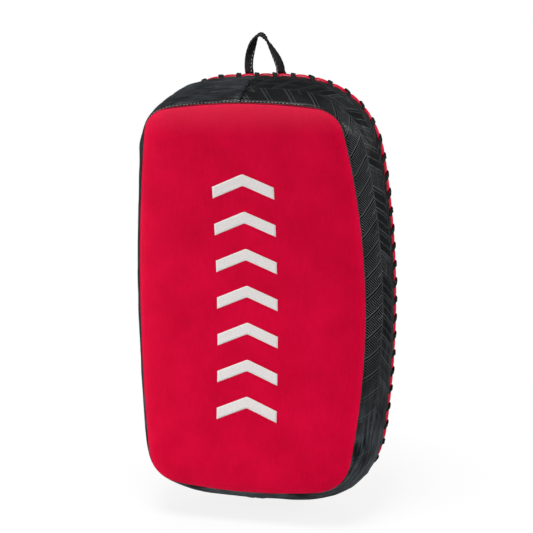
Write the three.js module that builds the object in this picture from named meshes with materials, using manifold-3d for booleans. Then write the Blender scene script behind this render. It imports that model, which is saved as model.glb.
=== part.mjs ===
// A thai pad: a curved, laced kick pad that its holder wears on one forearm.
// Millimetres. The origin is the middle of the forearm cushion's flat facet. +X is to the right as
// the striker sees it, +Y points out of the back towards the holder, and +Z runs along the pad to
// its hanging loop. The body is laid out flat as (x, out, s) and then bent: x across the pad, out
// behind the back panel's rear face (negative inside the pad), and s along it from the middle.
import * as THREE from "three";
import { mergeVertices } from "three/addons/utils/BufferGeometryUtils.js";
import Module from "manifold-3d";

const wasm = await Module();
wasm.setup();

// --- driving dimensions ---
const BEND_RADIUS = 690; // of the back panel; both ends of the pad curve towards the striker
const DEPTH = 80; // from the back panel to the seam of the strike face
const DOME = 6; // rise of the strike face in front of its seam
const SKIN = 2; // strike face cover and gusset
const GAP = 0.4; // between pieces that lie on each other

// Half sizes of the strike face's outline: a rectangle with bowed edges and trimmed corners.
const SEAM = { width: 100, top: 81.5, bottom: 86.5, above: 190, below: 191.5, bow: 8 };
const SEAM_TRIM = { top: 20, bottom: 25 };
// How far the rim of the back panel is outside that outline, and its own rounder corners.
const RIM = { across: 11, above: -1, below: 2 };
const RIM_TRIM = { top: 60, bottom: 54 };
const SIDE_BULGE = 8; // of the gusset, half way back
const BELLY = 2.2; // and so much more at the middle of each side
const ROUNDING = 2.4; // how fast the corners get their full trim: by 1 / 2.4 of the depth

const PANEL = 3; // thickness of the back panel
const BEAD = 3.6; // how far its rolled edge stands out past the gusset
const LACE = { radius: 1.3, stitches: 65, phase: 3.5, slant: 0.33, holeGap: 0.4 };
// The stitch's oval about the rim: its centre and half axes, outwards from the rim and backwards.
const STITCH = { outwards: -1, back: -5.2, halfOut: 7.6, halfBack: 8.8 };

const CUSHION = {
  halfWidth: 60, bottom: -150, top: 62, height: 14.5, skin: 1.6, lift: 0.7,
  facet: 20, // half length of the flat middle
  channels: [-104, -62], // more bends between the facets
  roll: 12, // width of its sloping edge
  shoulder: 5, // height that edge gains over its roll
};

// The hanging loop: its legs pass between stitches, so it stands a little to the right of the middle.
const LOOP = { base: 196, out: 2.1, middle: 1.3, leg: 14.3, width: 7.6, thickness: 2, height: 31 };
const LOOP_SEAT = { middle: -1, half: 3 }; // the flat stretch at its top
const SEWN_END = { length: 34, rightShift: 4.9 }; // the right end slants away from a stitch

const GRIP = { at: 112, halfSpan: 56, height: 46, core: 9, bore: 10.6, cover: 14, foot: 10 };
const TAB = { middle: 66, width: 40, length: 34, thickness: 3, rivetX: 76, rivetZ: 10 };

const STRAPS = { upper: 12, lower: -98 }; // where they sit along the pad
// Webbing: it arches over the arm on a circle whose middle is raised above the panel.
const WEB = { width: 50, thickness: 2.5, arch: 76, raise: 6, start: 177, sewnFrom: 78, sewnTo: 92 };
const KEEPER_FOOT = 10; // height above the panel at which the keeper loop starts
const TAPE = 1.5; // thickness of the hook and loop tape
const LAYER_GAP = 0.6; // between curved layers
const RING = { bar: 1.8, keeper: 9, outer: 24, halfWidth: 28, wrap: 3.4 }; // bars in degrees round the arch

const CUSHION_TOP = BEND_RADIUS + CUSHION.height;
const SHIFT = BEND_RADIUS - CUSHION_TOP * Math.cos(CUSHION.facet / BEND_RADIUS);

// --- materials ---
const finish = (color, roughness, metalness = 0) =>
  new THREE.MeshStandardMaterial({ color, roughness, metalness });
const redVinyl = finish(0xc4062f, 0.62);
const redBead = finish(0xd0122f, 0.4);
const blackVinyl = finish(0x24282a, 0.42);
const blackLace = finish(0x141414, 0.7);
const blackWeb = finish(0x1a1a1c, 0.85);
const hookTape = finish(0x222224, 0.95);
const greyFoam = finish(0x55585c, 0.95);
const creamFoam = finish(0xd9d2bf, 0.95);
const steel = finish(0xb8bcc2, 0.28, 1);

const pad = new THREE.Group();

function add(parent, name, geometry, material) {
  const mesh = new THREE.Mesh(geometry, material);
  mesh.name = name;
  parent.add(mesh);
  return mesh;
}

// --- solids ---
const v2 = (x, y) => new THREE.Vector2(x, y);
const v3 = (x, y, z) => new THREE.Vector3(x, y, z);

function signedVolume(points, faces) {
  const cross = new THREE.Vector3();
  return faces.reduce(
    (sum, [a, b, c]) => sum + points[a].dot(cross.crossVectors(points[b], points[c])) / 6,
    0,
  );
}

// A geometry from points and triangles, turned so that its faces point out.
function solid(points, faces) {
  const outwards = signedVolume(points, faces) > 0;
  const index = faces.flatMap(([a, b, c]) => (outwards ? [a, b, c] : [a, c, b]));
  const geometry = new THREE.BufferGeometry().setFromPoints(points);
  geometry.setIndex(index);
  geometry.computeVertexNormals();
  return geometry;
}

// Skins a row of loops that all have the same number of points. The last loop joins the first,
// or else a fan closes each end.
function skin(loops, joined = false) {
  const count = loops[0].length;
  const points = loops.flat();
  const faces = [];
  const spans = joined ? loops.length : loops.length - 1;
  for (let i = 0; i < spans; i++) {
    const here = i * count;
    const there = ((i + 1) % loops.length) * count;
    for (let j = 0; j < count; j++) {
      const next = (j + 1) % count;
      faces.push([here + j, here + next, there + j], [here + next, there + next, there + j]);
    }
  }
  if (joined) return solid(points, faces);
  const closeWith = (start, turned) => {
    const ends = points.slice(start, start + count);
    const middle = ends.reduce((sum, p) => sum.add(p), v3(0, 0, 0)).divideScalar(count);
    points.push(middle);
    for (let j = 0; j < count; j++) {
      const pair = [start + j, start + ((j + 1) % count)];
      faces.push([points.length - 1, ...(turned ? pair.reverse() : pair)]);
    }
  };
  closeWith(0, true);
  closeWith((loops.length - 1) * count, false);
  return solid(points, faces);
}

// The solid between two grids of points with the same rows and columns, closed round its edge.
function sheet(front, back) {
  const loops = front.map((row, i) => [...row, ...back[i].slice().reverse()]);
  const columns = front[0].length;
  const points = loops.flat();
  const width = 2 * columns;
  const faces = [];
  for (let i = 0; i + 1 < loops.length; i++)
    for (let j = 0; j < width; j++) {
      const [a, b] = [i * width + j, i * width + ((j + 1) % width)];
      faces.push([a, b, a + width], [b, b + width, a + width]);
    }
  const closeEnd = (row, turned) => {
    for (let j = 0; j + 1 < columns; j++) {
      const [a, b] = [row + j, row + j + 1];
      const [c, d] = [row + width - 2 - j, row + width - 1 - j];
      const pair = [[b, a, d], [c, b, d]];
      faces.push(...(turned ? pair.map((face) => face.reverse()) : pair));
    }
  };
  closeEnd(0, false);
  closeEnd((loops.length - 1) * width, true);
  return solid(points, faces);
}

function manifold(geometry) {
  const bare = new THREE.BufferGeometry();
  bare.setAttribute("position", geometry.getAttribute("position"));
  bare.setIndex(geometry.index);
  const merged = mergeVertices(bare, 1e-4);
  return new wasm.Manifold(
    new wasm.Mesh({
      numProp: 3,
      vertProperties: merged.getAttribute("position").array,
      triVerts: new Uint32Array(merged.index.array),
    }),
  );
}

// A piece with the other solids cut out of it.
function cut(geometry, ...tools) {
  const mesh = tools.reduce((left, tool) => left.subtract(manifold(tool)), manifold(geometry)).getMesh();
  const result = new THREE.BufferGeometry();
  result.setAttribute("position", new THREE.BufferAttribute(mesh.vertProperties, 3));
  result.setIndex(new THREE.BufferAttribute(mesh.triVerts, 1));
  result.computeVertexNormals();
  return result;
}

// A strip with its path in the (x, y) plane and its width along z.
function ribbon(path, thickness, width) {
  const normals = path.map((_, i) => {
    const [before, after] = [path[Math.max(i - 1, 0)], path[Math.min(i + 1, path.length - 1)]];
    return after.clone().sub(before).normalize().rotateAround(v2(0, 0), Math.PI / 2);
  });
  const side = (offset) => path.map((p, i) => p.clone().addScaledVector(normals[i], offset));
  const outline = [...side(thickness / 2), ...side(-thickness / 2).reverse()];
  const settings = { depth: width, bevelEnabled: false };
  return new THREE.ExtrudeGeometry(new THREE.Shape(outline), settings).translate(0, 0, -width / 2);
}

const polar = (radius, degrees) => {
  const angle = THREE.MathUtils.degToRad(degrees);
  return v2(radius * Math.cos(angle), radius * Math.sin(angle));
};

// Points on an arc, with the angles in degrees.
function arc(centre, radius, from, to, steps) {
  return Array.from({ length: steps + 1 }, (_, i) =>
    polar(radius, from + ((to - from) * i) / steps).add(centre),
  );
}

// --- the bent body ---
function bend(x, out, s) {
  const angle = s / BEND_RADIUS;
  const radius = BEND_RADIUS + out;
  return v3(x, radius * Math.cos(angle) - BEND_RADIUS + SHIFT, radius * Math.sin(angle));
}

// A group that lies on the back panel at s, with y straight out of it and z along the pad.
function groupAt(s, out = 0) {
  const group = new THREE.Group();
  group.position.copy(bend(0, out, s));
  group.rotation.x = s / BEND_RADIUS;
  pad.add(group);
  return group;
}

// The stretch of a quadratic curve between its parameters a and b.
function stretch(curve, a, b) {
  const blend = (p, q) =>
    curve.v0.clone().multiplyScalar((1 - p) * (1 - q))
      .addScaledVector(curve.v1, p * (1 - q) + q * (1 - p))
      .addScaledVector(curve.v2, p * q);
  return new THREE.QuadraticBezierCurve(blend(a, a), blend(a, b), blend(b, b));
}

// The right half of the body's outline at a depth, from its top centre to its bottom centre.
function halfOutline(out) {
  const back = THREE.MathUtils.clamp(1 + out / DEPTH, 0, 1);
  const bulge = SIDE_BULGE * Math.sin(Math.PI * back) ** 0.8;
  const across = RIM.across * back + bulge;
  const above = SEAM.above + RIM.above * back + bulge;
  const below = SEAM.below + RIM.below * back + bulge;
  const rounder = Math.min(1, ROUNDING * back);
  const topTrim = THREE.MathUtils.lerp(SEAM_TRIM.top, RIM_TRIM.top, rounder);
  const bottomTrim = THREE.MathUtils.lerp(SEAM_TRIM.bottom, RIM_TRIM.bottom, rounder);

  const top = v2(SEAM.top + across, above - SEAM.bow);
  const bottom = v2(SEAM.bottom + across, SEAM.bow - below);
  const belly = BELLY * Math.sin(Math.PI * back);
  const widest = 2 * (SEAM.width + across + belly) - (top.x + bottom.x) / 2;
  const bow = (from, control, to) => new THREE.QuadraticBezierCurve(from, control, to);
  const topEdge = bow(v2(-top.x, top.y), v2(0, above + SEAM.bow), top);
  const sideEdge = bow(top, v2(widest, 0), bottom);
  const bottomEdge = bow(bottom, v2(0, -below - SEAM.bow), v2(-bottom.x, bottom.y));

  const height = top.y - bottom.y;
  const edges = [
    stretch(topEdge, 0.5, 1 - topTrim / (2 * top.x)),
    stretch(sideEdge, topTrim / height, 1 - bottomTrim / height),
    stretch(bottomEdge, bottomTrim / (2 * bottom.x), 0.5),
  ];
  const corner = (before, point, after) => bow(before.v2, point, after.v0);
  const path = new THREE.CurvePath();
  path.curves = [
    edges[0],
    corner(edges[0], top, edges[1]),
    edges[1],
    corner(edges[1], bottom, edges[2]),
    edges[2],
  ];
  return path;
}

const outwards = (tangent) => v2(-tangent.y, tangent.x);
const STEPS = [3, 4, 8, 4, 3]; // along the half top edge, corner, side, corner and half bottom edge

// Points on the right half outline, moved outwards by grow.
function halfPoints(out, grow) {
  const curves = halfOutline(out).curves;
  const points = curves.flatMap((curve, i) =>
    Array.from({ length: STEPS[i] }, (_, j) => {
      const t = j / STEPS[i];
      return curve.getPoint(t).addScaledVector(outwards(curve.getTangent(t)), grow);
    }),
  );
  const last = curves[curves.length - 1];
  points.push(last.getPoint(1).addScaledVector(outwards(last.getTangent(1)), grow));
  return points;
}

// A loop of bent points round the pad, grown outwards and then scaled towards the middle line.
function loop(out, grow = 0, scale = 1) {
  const right = halfPoints(out, grow);
  const left = right.slice(1, -1).reverse().map((p) => v2(-p.x, p.y));
  return [...right, ...left].map((p) => bend(p.x * scale, out, p.y * scale));
}

const INWARD = [0.33, 0.66]; // inner loops of a flat layer, so that it follows the bend
const domeAt = (scale) => -DEPTH - DOME * (1 - scale ** 4);
const DOME_LOOPS = [0.3, 0.6, 0.8, 0.93];

// --- body pieces ---
function strikeFaceCover() {
  const inner = DOME_LOOPS.map((scale) => loop(domeAt(scale) + SKIN, 0, scale));
  const outer = DOME_LOOPS.map((scale) => loop(domeAt(scale), 0, scale)).reverse();
  const turnIn = [-SKIN - 0.6, -2 * SKIN - 0.6]; // the seam allowance, inside the gusset
  const edge = [
    loop(1 - DEPTH, turnIn[1]),
    loop(8 - DEPTH, turnIn[1]),
    loop(8 - DEPTH, turnIn[0]),
    loop(GAP - DEPTH, turnIn[0]),
    loop(GAP - DEPTH, 0),
    loop(-DEPTH - 0.3, 0),
  ];
  return skin([...inner, ...edge, ...outer]);
}

const GUSSET_DEPTHS = [-79.2, -75, -66, -52, -36, -22, -8];

function gussetHalf(side) {
  const place = (out) => (p) => bend(side * Math.max(p.x, GAP / 2), out, p.y);
  const grid = (grow) => GUSSET_DEPTHS.map((out) => halfPoints(out, grow).map(place(out)));
  return sheet(grid(0), grid(-SKIN));
}

// The panel, with its edge rolled into a bead that covers the gusset's rear edge.
function backPanel() {
  const front = INWARD.map((scale) => loop(-PANEL, 0, scale));
  const bead = [
    [-3.2, -PANEL], [-2.6, -5], [0, -6.6], [2.5, -5.4], [BEAD, -PANEL], [2.5, -0.7], [0, 0.5], [-2.4, 0.2],
  ].map(([grow, out]) => loop(out, grow));
  const rear = [0.9, 0.7, 0.5, 0.25].map((scale) => loop(0, 0, scale));
  return skin([...front, ...bead, ...rear]);
}

// The rim at a fraction of the way round it, clockwise from the top centre.
const rim = halfOutline(0);
function rimAt(fraction) {
  const turn = fraction - Math.floor(fraction);
  const mirrored = turn > 0.5;
  const t = mirrored ? 2 - 2 * turn : 2 * turn;
  const point = rim.getPoint(t);
  const normal = outwards(rim.getTangent(t));
  const flip = v2(mirrored ? -1 : 1, 1);
  return { point: point.multiply(flip), normal: normal.multiply(flip) };
}

// The whip stitch: one cord that winds through the gusset and the panel all round the rim.
function lace(radius) {
  const [turnSteps, sides] = [6, 4];
  const start = 0.5 + (LACE.phase * LACE.stitches) / (2 * rim.getLength());
  const centres = [];
  const spokes = [];
  for (let i = 0; i < LACE.stitches * turnSteps; i++) {
    const turn = 2 * Math.PI * ((i % turnSteps) / turnSteps);
    const stitch = i / turnSteps + start - LACE.slant * Math.sin(turn);
    const { point, normal } = rimAt(stitch / LACE.stitches);
    const at = (scale) => {
      const grow = STITCH.outwards + scale * STITCH.halfOut * Math.cos(turn);
      const p = point.clone().addScaledVector(normal, grow);
      return bend(p.x, STITCH.back + scale * STITCH.halfBack * Math.sin(turn), p.y);
    };
    centres.push(at(1));
    spokes.push(at(1).sub(at(0.5)).normalize());
  }
  const loops = centres.map((centre, i) => {
    const after = centres[(i + 1) % centres.length];
    const before = centres[(i + centres.length - 1) % centres.length];
    const across = after.clone().sub(before).cross(spokes[i]).normalize();
    return Array.from({ length: sides }, (_, j) => {
      const offset = polar(radius, (360 * (j + 0.5)) / sides);
      return centre.clone().addScaledVector(spokes[i], offset.x).addScaledVector(across, offset.y);
    });
  });
  return skin(loops, true);
}

// A foam layer between two depths, clear of the skins round it.
function foamLayer(front, sides, rear) {
  const rearFace = INWARD.toReversed().map((scale) => loop(rear[0], rear[1], scale));
  return skin([...front, ...sides.map(([out, grow]) => loop(out, grow)), loop(...rear), ...rearFace]);
}

function strikeFoam() {
  const front = DOME_LOOPS.slice(0, 3).map((scale) => loop(domeAt(scale) + SKIN + GAP, -6, scale));
  const besideSeam = [[-78, -6], [-71, -6], [-69, -3.6]];
  return foamLayer(front, besideSeam, [-56.5, -3.6]);
}

const flatFront = (out, grow) => INWARD.map((scale) => loop(out, grow, scale));
const coreFoam = () => foamLayer(flatFront(-55.5, -3.6), [[-55.5, -3.6], [-36, -3.6]], [-24.5, -3.6]);
const comfortFoam = () =>
  foamLayer(flatFront(-23.5, -3.6), [[-23.5, -3.6], [-20, -3.6], [-16, -13]], [-6, -13]);

// --- forearm cushion ---
// The cushion's upper surface, moved in by inset and down to floor; its middle facet is flat.
function cushionGrid(inset, floor, ceiling) {
  const { halfWidth, bottom, top, height, facet, roll, shoulder, channels } = CUSHION;
  const side = halfWidth - inset;
  const columns = [[-side, 0], [1.5 - side, 1], [roll - halfWidth, 2]];
  columns.push(...columns.map(([x, level]) => [-x, level]).reverse());
  const low = bottom + inset;
  const high = top - inset;
  const rows = [
    [low, 0], [low + 1.5, 1], [bottom + roll, 2], [channels[0], 2], [channels[1], 2],
    [-facet, 2], [facet, 2], [top - roll, 2], [high - 1.5, 1], [high, 0],
  ];
  const levels = [floor, height - shoulder - inset, height - inset].map((h) => Math.min(h, ceiling));
  return rows.map(([s, rowLevel]) =>
    columns.map(([x, level]) => bend(x, levels[Math.min(level, rowLevel)], s)),
  );
}

function cushionCover() {
  const { lift, skin: hide } = CUSHION;
  return sheet(cushionGrid(0, lift, Infinity), cushionGrid(hide, lift, Infinity));
}

function cushionFoam() {
  const inset = CUSHION.skin + 2 * GAP;
  const floor = CUSHION.lift + GAP;
  return sheet(cushionGrid(inset, floor, floor), cushionGrid(inset, floor, Infinity));
}

// --- hanging loop ---
function hangingLoop() {
  const { leg, width, thickness, height } = LOOP;
  const top = height - thickness / 2;
  const seat = [1, -1].map((side) => LOOP_SEAT.middle + side * LOOP_SEAT.half);
  const rightLeg = [[leg, 0.6], [12.6, 7], [9.5, 14.5], [5.9, 22], [3.9, 27.2]];
  const leftLeg = [[-6, 27.4], [-8.6, 22.3], [-11.6, 14.5], [-13.4, 7], [-leg, 0.6]];
  const spots = [...rightLeg, [seat[0], top], [seat[1], top], ...leftLeg];
  const path = spots.map(([x, z]) => v3(x, 0, z));
  const twists = [0, 10, 30, 55, 80, 90]; // degrees, from flat on the panel to edge on
  const angles = [...twists, ...twists.toReversed()];
  const loops = path.map((point, i) => {
    const [before, after] = [path[Math.max(i - 1, 0)], path[Math.min(i + 1, path.length - 1)]];
    const isSeat = point.z === top;
    const tangent = isSeat ? v3(-1, 0, 0) : after.clone().sub(before).normalize();
    const outward = v3(tangent.z, 0, -tangent.x);
    const angle = THREE.MathUtils.degToRad(angles[i]);
    const flat = outward.clone().multiplyScalar(Math.cos(angle)).add(v3(0, Math.sin(angle), 0));
    const thin = outward.clone().multiplyScalar(-Math.sin(angle)).add(v3(0, Math.cos(angle), 0));
    const corners = [[1, 1], [-1, 1], [-1, -1], [1, -1]];
    return corners.map(([w, t]) =>
      point.clone().addScaledVector(flat, (w * width) / 2).addScaledVector(thin, (t * thickness) / 2),
    );
  });
  return skin(loops);
}

// One end of the loop's strip, sewn flat to the rear of the panel under the rim.
function loopEnd(side) {
  const { leg, width, thickness, base } = LOOP;
  const low = LOOP.out - thickness / 2;
  const atRim = LOOP.middle + side * leg;
  const sewn = atRim + (side > 0 ? SEWN_END.rightShift : 0);
  const rows = [[base - SEWN_END.length, sewn], [base - 15, sewn], [base - 2.5, atRim]];
  const corners = [[-1, 0], [1, 0], [1, 1], [-1, 1]];
  return skin(
    rows.map(([s, x]) => corners.map(([w, t]) => bend(x + (w * width) / 2, low + t * thickness, s))),
  );
}

// --- grip ---
function gripCurve(start) {
  const { halfSpan, height } = GRIP;
  const half = [[halfSpan, start], [halfSpan - 1, 28], [halfSpan - 10, height - 4], [24, height]];
  const right = half.map(([x, y]) => v3(x, y, 0));
  const left = half.toReversed().map(([x, y]) => v3(-x, y, 0));
  return new THREE.CatmullRomCurve3([...right, ...left]);
}

function tube(curve, radius, bore, steps) {
  const shape = new THREE.Shape().absarc(0, 0, radius, 0, 2 * Math.PI);
  if (bore) shape.holes.push(new THREE.Path().absarc(0, 0, bore, 0, 2 * Math.PI, true));
  const settings = { steps, curveSegments: 5, extrudePath: curve, bevelEnabled: false };
  return new THREE.ExtrudeGeometry(shape, settings);
}

function roundedRectangle(width, height, radius) {
  const [x, y] = [width / 2 - radius, height / 2 - radius];
  const shape = new THREE.Shape();
  shape.absarc(x, y, radius, 0, Math.PI / 2);
  shape.absarc(-x, y, radius, Math.PI / 2, Math.PI);
  shape.absarc(-x, -y, radius, Math.PI, 1.5 * Math.PI);
  shape.absarc(x, -y, radius, 1.5 * Math.PI, 2 * Math.PI);
  return shape;
}

// A flat patch of the given thickness, lying on the panel with y straight out.
function patch(width, length, thickness) {
  const settings = { depth: thickness, bevelEnabled: false, curveSegments: 3 };
  const shape = roundedRectangle(width, length, 6);
  return new THREE.ExtrudeGeometry(shape, settings).rotateX(-Math.PI / 2);
}

const rivetSpots = (side) => [-1, 1].map((end) => v3(side * TAB.rivetX, 0, end * TAB.rivetZ));
const rivetHoles = (side) =>
  rivetSpots(side).map((spot) => new THREE.CylinderGeometry(2.4, 2.4, 20, 8).translate(...spot));

function gripTab(side) {
  const plate = patch(TAB.width, TAB.length, TAB.thickness).translate(side * TAB.middle, GAP, 0);
  return cut(plate, ...rivetHoles(side));
}

// A tubular rivet: domed head, shank, and the flange it is clenched into behind the panel.
function rivet() {
  const under = GAP + TAB.thickness + 0.3;
  const inside = -PANEL - 1.1;
  const profile = [
    [0, inside - 1], [4, inside - 1], [4.4, inside], [2, inside], [2, under],
    [5, under], [4.6, under + 1], [2.8, under + 2], [0, under + 2.4],
  ];
  return new THREE.LatheGeometry(profile.map(([r, y]) => v2(r, y)), 10);
}

// --- straps ---
const ORIGIN = v2(0, 0);
const keeperBar = polar(WEB.arch, RING.keeper);
const outerBar = polar(WEB.arch, RING.outer);
const wrapRadius = RING.wrap + WEB.thickness / 2;
const foldRadius = WEB.arch + wrapRadius; // where the strap comes back over the outer bar
const fold = { end: RING.outer + 1.6, start: RING.outer + 2.1 };
const outerFace = WEB.arch + WEB.thickness / 2;
const loopTape = outerFace + LAYER_GAP + TAPE / 2;
const hookRadius = loopTape + TAPE + LAYER_GAP;
const tailRadius = hookRadius + TAPE / 2 + LAYER_GAP + WEB.thickness / 2;

// Over the forearm from the sewn foot, through the ring, and back round its outer bar.
function strapBand() {
  const overArm = arc(ORIGIN, WEB.arch, WEB.start, RING.outer + 14, 13);
  const dip = [polar(WEB.arch - 1.4, RING.outer + 10), polar(WEB.arch - 3.6, RING.outer + 6)];
  const wrap = arc(outerBar, wrapRadius, RING.outer + 180, RING.outer + 360, 8);
  return ribbon([...overArm, ...dip, ...wrap, polar(foldRadius, fold.end)], WEB.thickness, WEB.width);
}

// The free end, from the fold to its tip, lying on the hook and loop tapes.
function strapTail() {
  const rise = [polar(foldRadius, fold.start), polar(foldRadius + 0.9, fold.start + 8)];
  const path = [...rise, ...arc(ORIGIN, tailRadius, 44, 90, 5)];
  return ribbon(path, WEB.thickness, WEB.width);
}

const tapeOn = (radius, from, to) =>
  ribbon(arc(ORIGIN, radius, from, to, 7), TAPE, WEB.width - 4);

// A short strip doubled over the ring's keeper bar.
function keeperLoop() {
  const over = arc(keeperBar, wrapRadius, 180, 0, 8);
  const legs = [-1, 1].map((side) => v2(keeperBar.x + side * wrapRadius, KEEPER_FOOT - WEB.raise));
  return ribbon([legs[0], ...over, legs[1]], WEB.thickness, WEB.width);
}

// The sewn end of a strip, flat on the panel; side is -1 at the left edge and 1 at the right.
function strapFoot(side) {
  const middle = (WEB.sewnFrom + WEB.sewnTo) / 2;
  const length = WEB.sewnTo - WEB.sewnFrom;
  const slab = new THREE.BoxGeometry(length, WEB.thickness, WEB.width);
  return slab.translate(side * middle, GAP + WEB.thickness / 2, 0);
}

// A rectangular wire ring that stands on its keeper bar, with x towards its outer bar.
function strapRing() {
  const reach = keeperBar.distanceTo(outerBar);
  const frame = roundedRectangle(reach, 2 * RING.halfWidth, 5).getPoints(2);
  const path = frame.slice(0, -1).filter((p, i) => i === 0 || p.distanceTo(frame[i - 1]) > 0.01);
  const loops = path.map((p, i) => {
    const before = path[(i + path.length - 1) % path.length];
    const after = path[(i + 1) % path.length];
    const normal = outwards(after.clone().sub(before).normalize());
    return Array.from({ length: 5 }, (_, j) => {
      const offset = polar(RING.bar, 72 * j);
      const q = p.clone().addScaledVector(normal, offset.x);
      return v3(q.x + reach / 2, offset.y, q.y);
    });
  });
  return skin(loops, true);
}

function addStrap(name, s) {
  const base = groupAt(s);
  add(base, `${name}_strap_foot`, strapFoot(-1), blackWeb);
  add(base, `${name}_keeper_foot`, strapFoot(1), blackWeb);
  const arch = new THREE.Group();
  arch.position.y = WEB.raise;
  base.add(arch);
  add(arch, `${name}_strap_band`, strapBand(), blackWeb);
  add(arch, `${name}_loop_tape`, tapeOn(loopTape, 45, 120), hookTape);
  add(arch, `${name}_strap_tail`, strapTail(), blackWeb);
  add(arch, `${name}_hook_tape`, tapeOn(hookRadius, 50, 86), hookTape);
  add(arch, `${name}_keeper_loop`, keeperLoop(), blackWeb);
  const ring = add(arch, `${name}_strap_ring`, strapRing(), steel);
  ring.position.set(keeperBar.x, keeperBar.y, 0);
  ring.rotation.z = outerBar.clone().sub(keeperBar).angle();
}

// --- assembly ---
function addBody() {
  const lacingHole = lace(LACE.radius + LACE.holeGap);
  const onPanel = (tool) => tool.rotateX(GRIP.at / BEND_RADIUS).translate(...bend(0, 0, GRIP.at));
  const holes = [-1, 1].flatMap(rivetHoles).map(onPanel);
  add(pad, "strike_face_cover", strikeFaceCover(), redVinyl);
  add(pad, "gusset_right", cut(gussetHalf(1), lacingHole), blackVinyl);
  add(pad, "gusset_left", cut(gussetHalf(-1), lacingHole), blackVinyl);
  add(pad, "back_panel", cut(backPanel(), lacingHole, ...holes), redBead);
  add(pad, "lacing_cord", lace(LACE.radius), blackLace);
  add(pad, "strike_foam", strikeFoam(), greyFoam);
  add(pad, "core_foam", coreFoam(), greyFoam);
  add(pad, "comfort_foam", comfortFoam(), creamFoam);
  add(pad, "forearm_cushion_cover", cushionCover(), blackVinyl);
  add(pad, "forearm_cushion_foam", cushionFoam(), creamFoam);
}

function addHangingLoop() {
  const hanger = add(groupAt(LOOP.base, LOOP.out), "hanging_loop", hangingLoop(), blackVinyl);
  hanger.position.x = LOOP.middle;
  add(pad, "hanging_loop_end_right", loopEnd(1), blackVinyl);
  add(pad, "hanging_loop_end_left", loopEnd(-1), blackVinyl);
}

function addGrip() {
  const group = groupAt(GRIP.at);
  add(group, "grip_core", tube(gripCurve(GRIP.foot), GRIP.core, 0, 11), greyFoam);
  add(group, "grip_cover", tube(gripCurve(GRIP.foot + 3), GRIP.cover, GRIP.bore, 11), blackVinyl);
  for (const [name, side] of [["left", -1], ["right", 1]]) {
    add(group, `grip_tab_${name}`, gripTab(side), blackVinyl);
    rivetSpots(side).forEach((spot, i) => {
      const fastener = add(group, `grip_rivet_${name}_${["lower", "upper"][i]}`, rivet(), steel);
      fastener.position.copy(spot);
    });
  }
}

addBody();
addHangingLoop();
addGrip();
Object.entries(STRAPS).forEach(([name, s]) => addStrap(name, s));

export default pad;
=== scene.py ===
import functools
import math

import bpy
import numpy as np
from mathutils import Matrix, Vector, noise
from mathutils.bvhtree import BVHTree


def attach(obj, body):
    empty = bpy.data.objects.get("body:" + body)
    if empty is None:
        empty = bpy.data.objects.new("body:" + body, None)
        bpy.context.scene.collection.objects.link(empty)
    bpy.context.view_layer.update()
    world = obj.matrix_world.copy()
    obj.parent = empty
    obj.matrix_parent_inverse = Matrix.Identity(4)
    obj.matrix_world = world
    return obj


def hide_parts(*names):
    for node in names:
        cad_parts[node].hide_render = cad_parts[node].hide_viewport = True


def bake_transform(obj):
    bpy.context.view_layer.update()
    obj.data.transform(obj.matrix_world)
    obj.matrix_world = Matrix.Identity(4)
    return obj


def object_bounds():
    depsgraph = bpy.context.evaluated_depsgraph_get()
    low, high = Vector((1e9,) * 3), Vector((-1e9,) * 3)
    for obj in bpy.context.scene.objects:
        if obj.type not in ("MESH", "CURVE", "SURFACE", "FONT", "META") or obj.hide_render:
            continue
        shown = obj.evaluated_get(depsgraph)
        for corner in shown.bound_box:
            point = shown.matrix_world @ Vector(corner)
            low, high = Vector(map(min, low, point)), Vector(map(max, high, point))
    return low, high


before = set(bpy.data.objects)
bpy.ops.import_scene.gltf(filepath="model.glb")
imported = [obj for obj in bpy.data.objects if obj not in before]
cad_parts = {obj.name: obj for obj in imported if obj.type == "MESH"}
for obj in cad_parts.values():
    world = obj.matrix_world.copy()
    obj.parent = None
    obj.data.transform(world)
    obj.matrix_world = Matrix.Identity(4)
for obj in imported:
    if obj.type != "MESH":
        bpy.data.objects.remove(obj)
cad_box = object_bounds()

# A thai pad, round the CAD frame. Lengths are millimetres until a mesh is made. The body is laid
# out flat as (x, out, s) and then bent, as in the CAD source: out is behind the back panel's rear
# face, s runs along the pad, and turn is the way round the rim, 0 to 1, clockwise from the top.
MM = 0.001
BEND, DEPTH, DOME = 690.0, 80.0, 6.0
# The strike face's seam: half widths, heights above and below the middle, and the bow of its edges.
SEAM_MIDDLE, SEAM_TOP, SEAM_BOTTOM = 100.0, 81.5, 86.5
SEAM_ABOVE, SEAM_BELOW, BOW = 190.0, 191.5, 8.0
# What the rim adds to the seam, and how far the corners are trimmed at the seam and at the rim.
RIM_ACROSS, RIM_ABOVE, RIM_BELOW = 11.0, -1.0, 2.0
TOP_TRIM, BOTTOM_TRIM = (20.0, 60.0), (25.0, 54.0)
SIDE_BULGE, BELLY, ROUNDING = 8.0, 2.2, 2.4
SKIN = 2.0  # thickness of the gusset
STITCHES, LACE_PHASE = 65, 3.5
STRAPS = {"upper": 12.0, "lower": -98.0}  # where they sit along the pad
GRIP_AT = 112.0
LOOP_BASE, LOOP_OUT, LOOP_MIDDLE, LOOP_LEG = 196.0, 2.1, 1.3, 14.3
LOOP_ENDS = ((-1, 0.0), (1, 4.9))  # each end's side, and how far it slants to the right
ARCH, RAISE, WEB_WIDTH, WEB_THICK = 76.0, 6.0, 50.0, 2.5
CUSHION_HALF, CUSHION_LOW, CUSHION_HIGH, CUSHION_TOP = 60.0, -150.0, 62.0, 14.5
CUSHION_MIDDLE = (CUSHION_LOW + CUSHION_HIGH) / 2
CUSHION_LENGTH = (CUSHION_HIGH - CUSHION_LOW) / 2
CUSHION_CORNER = 5.5  # superellipse power of its plan
CHANNELS = (-34.0, -66.0)
FACET = 20.0  # half length of the cushion's flat middle
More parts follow.
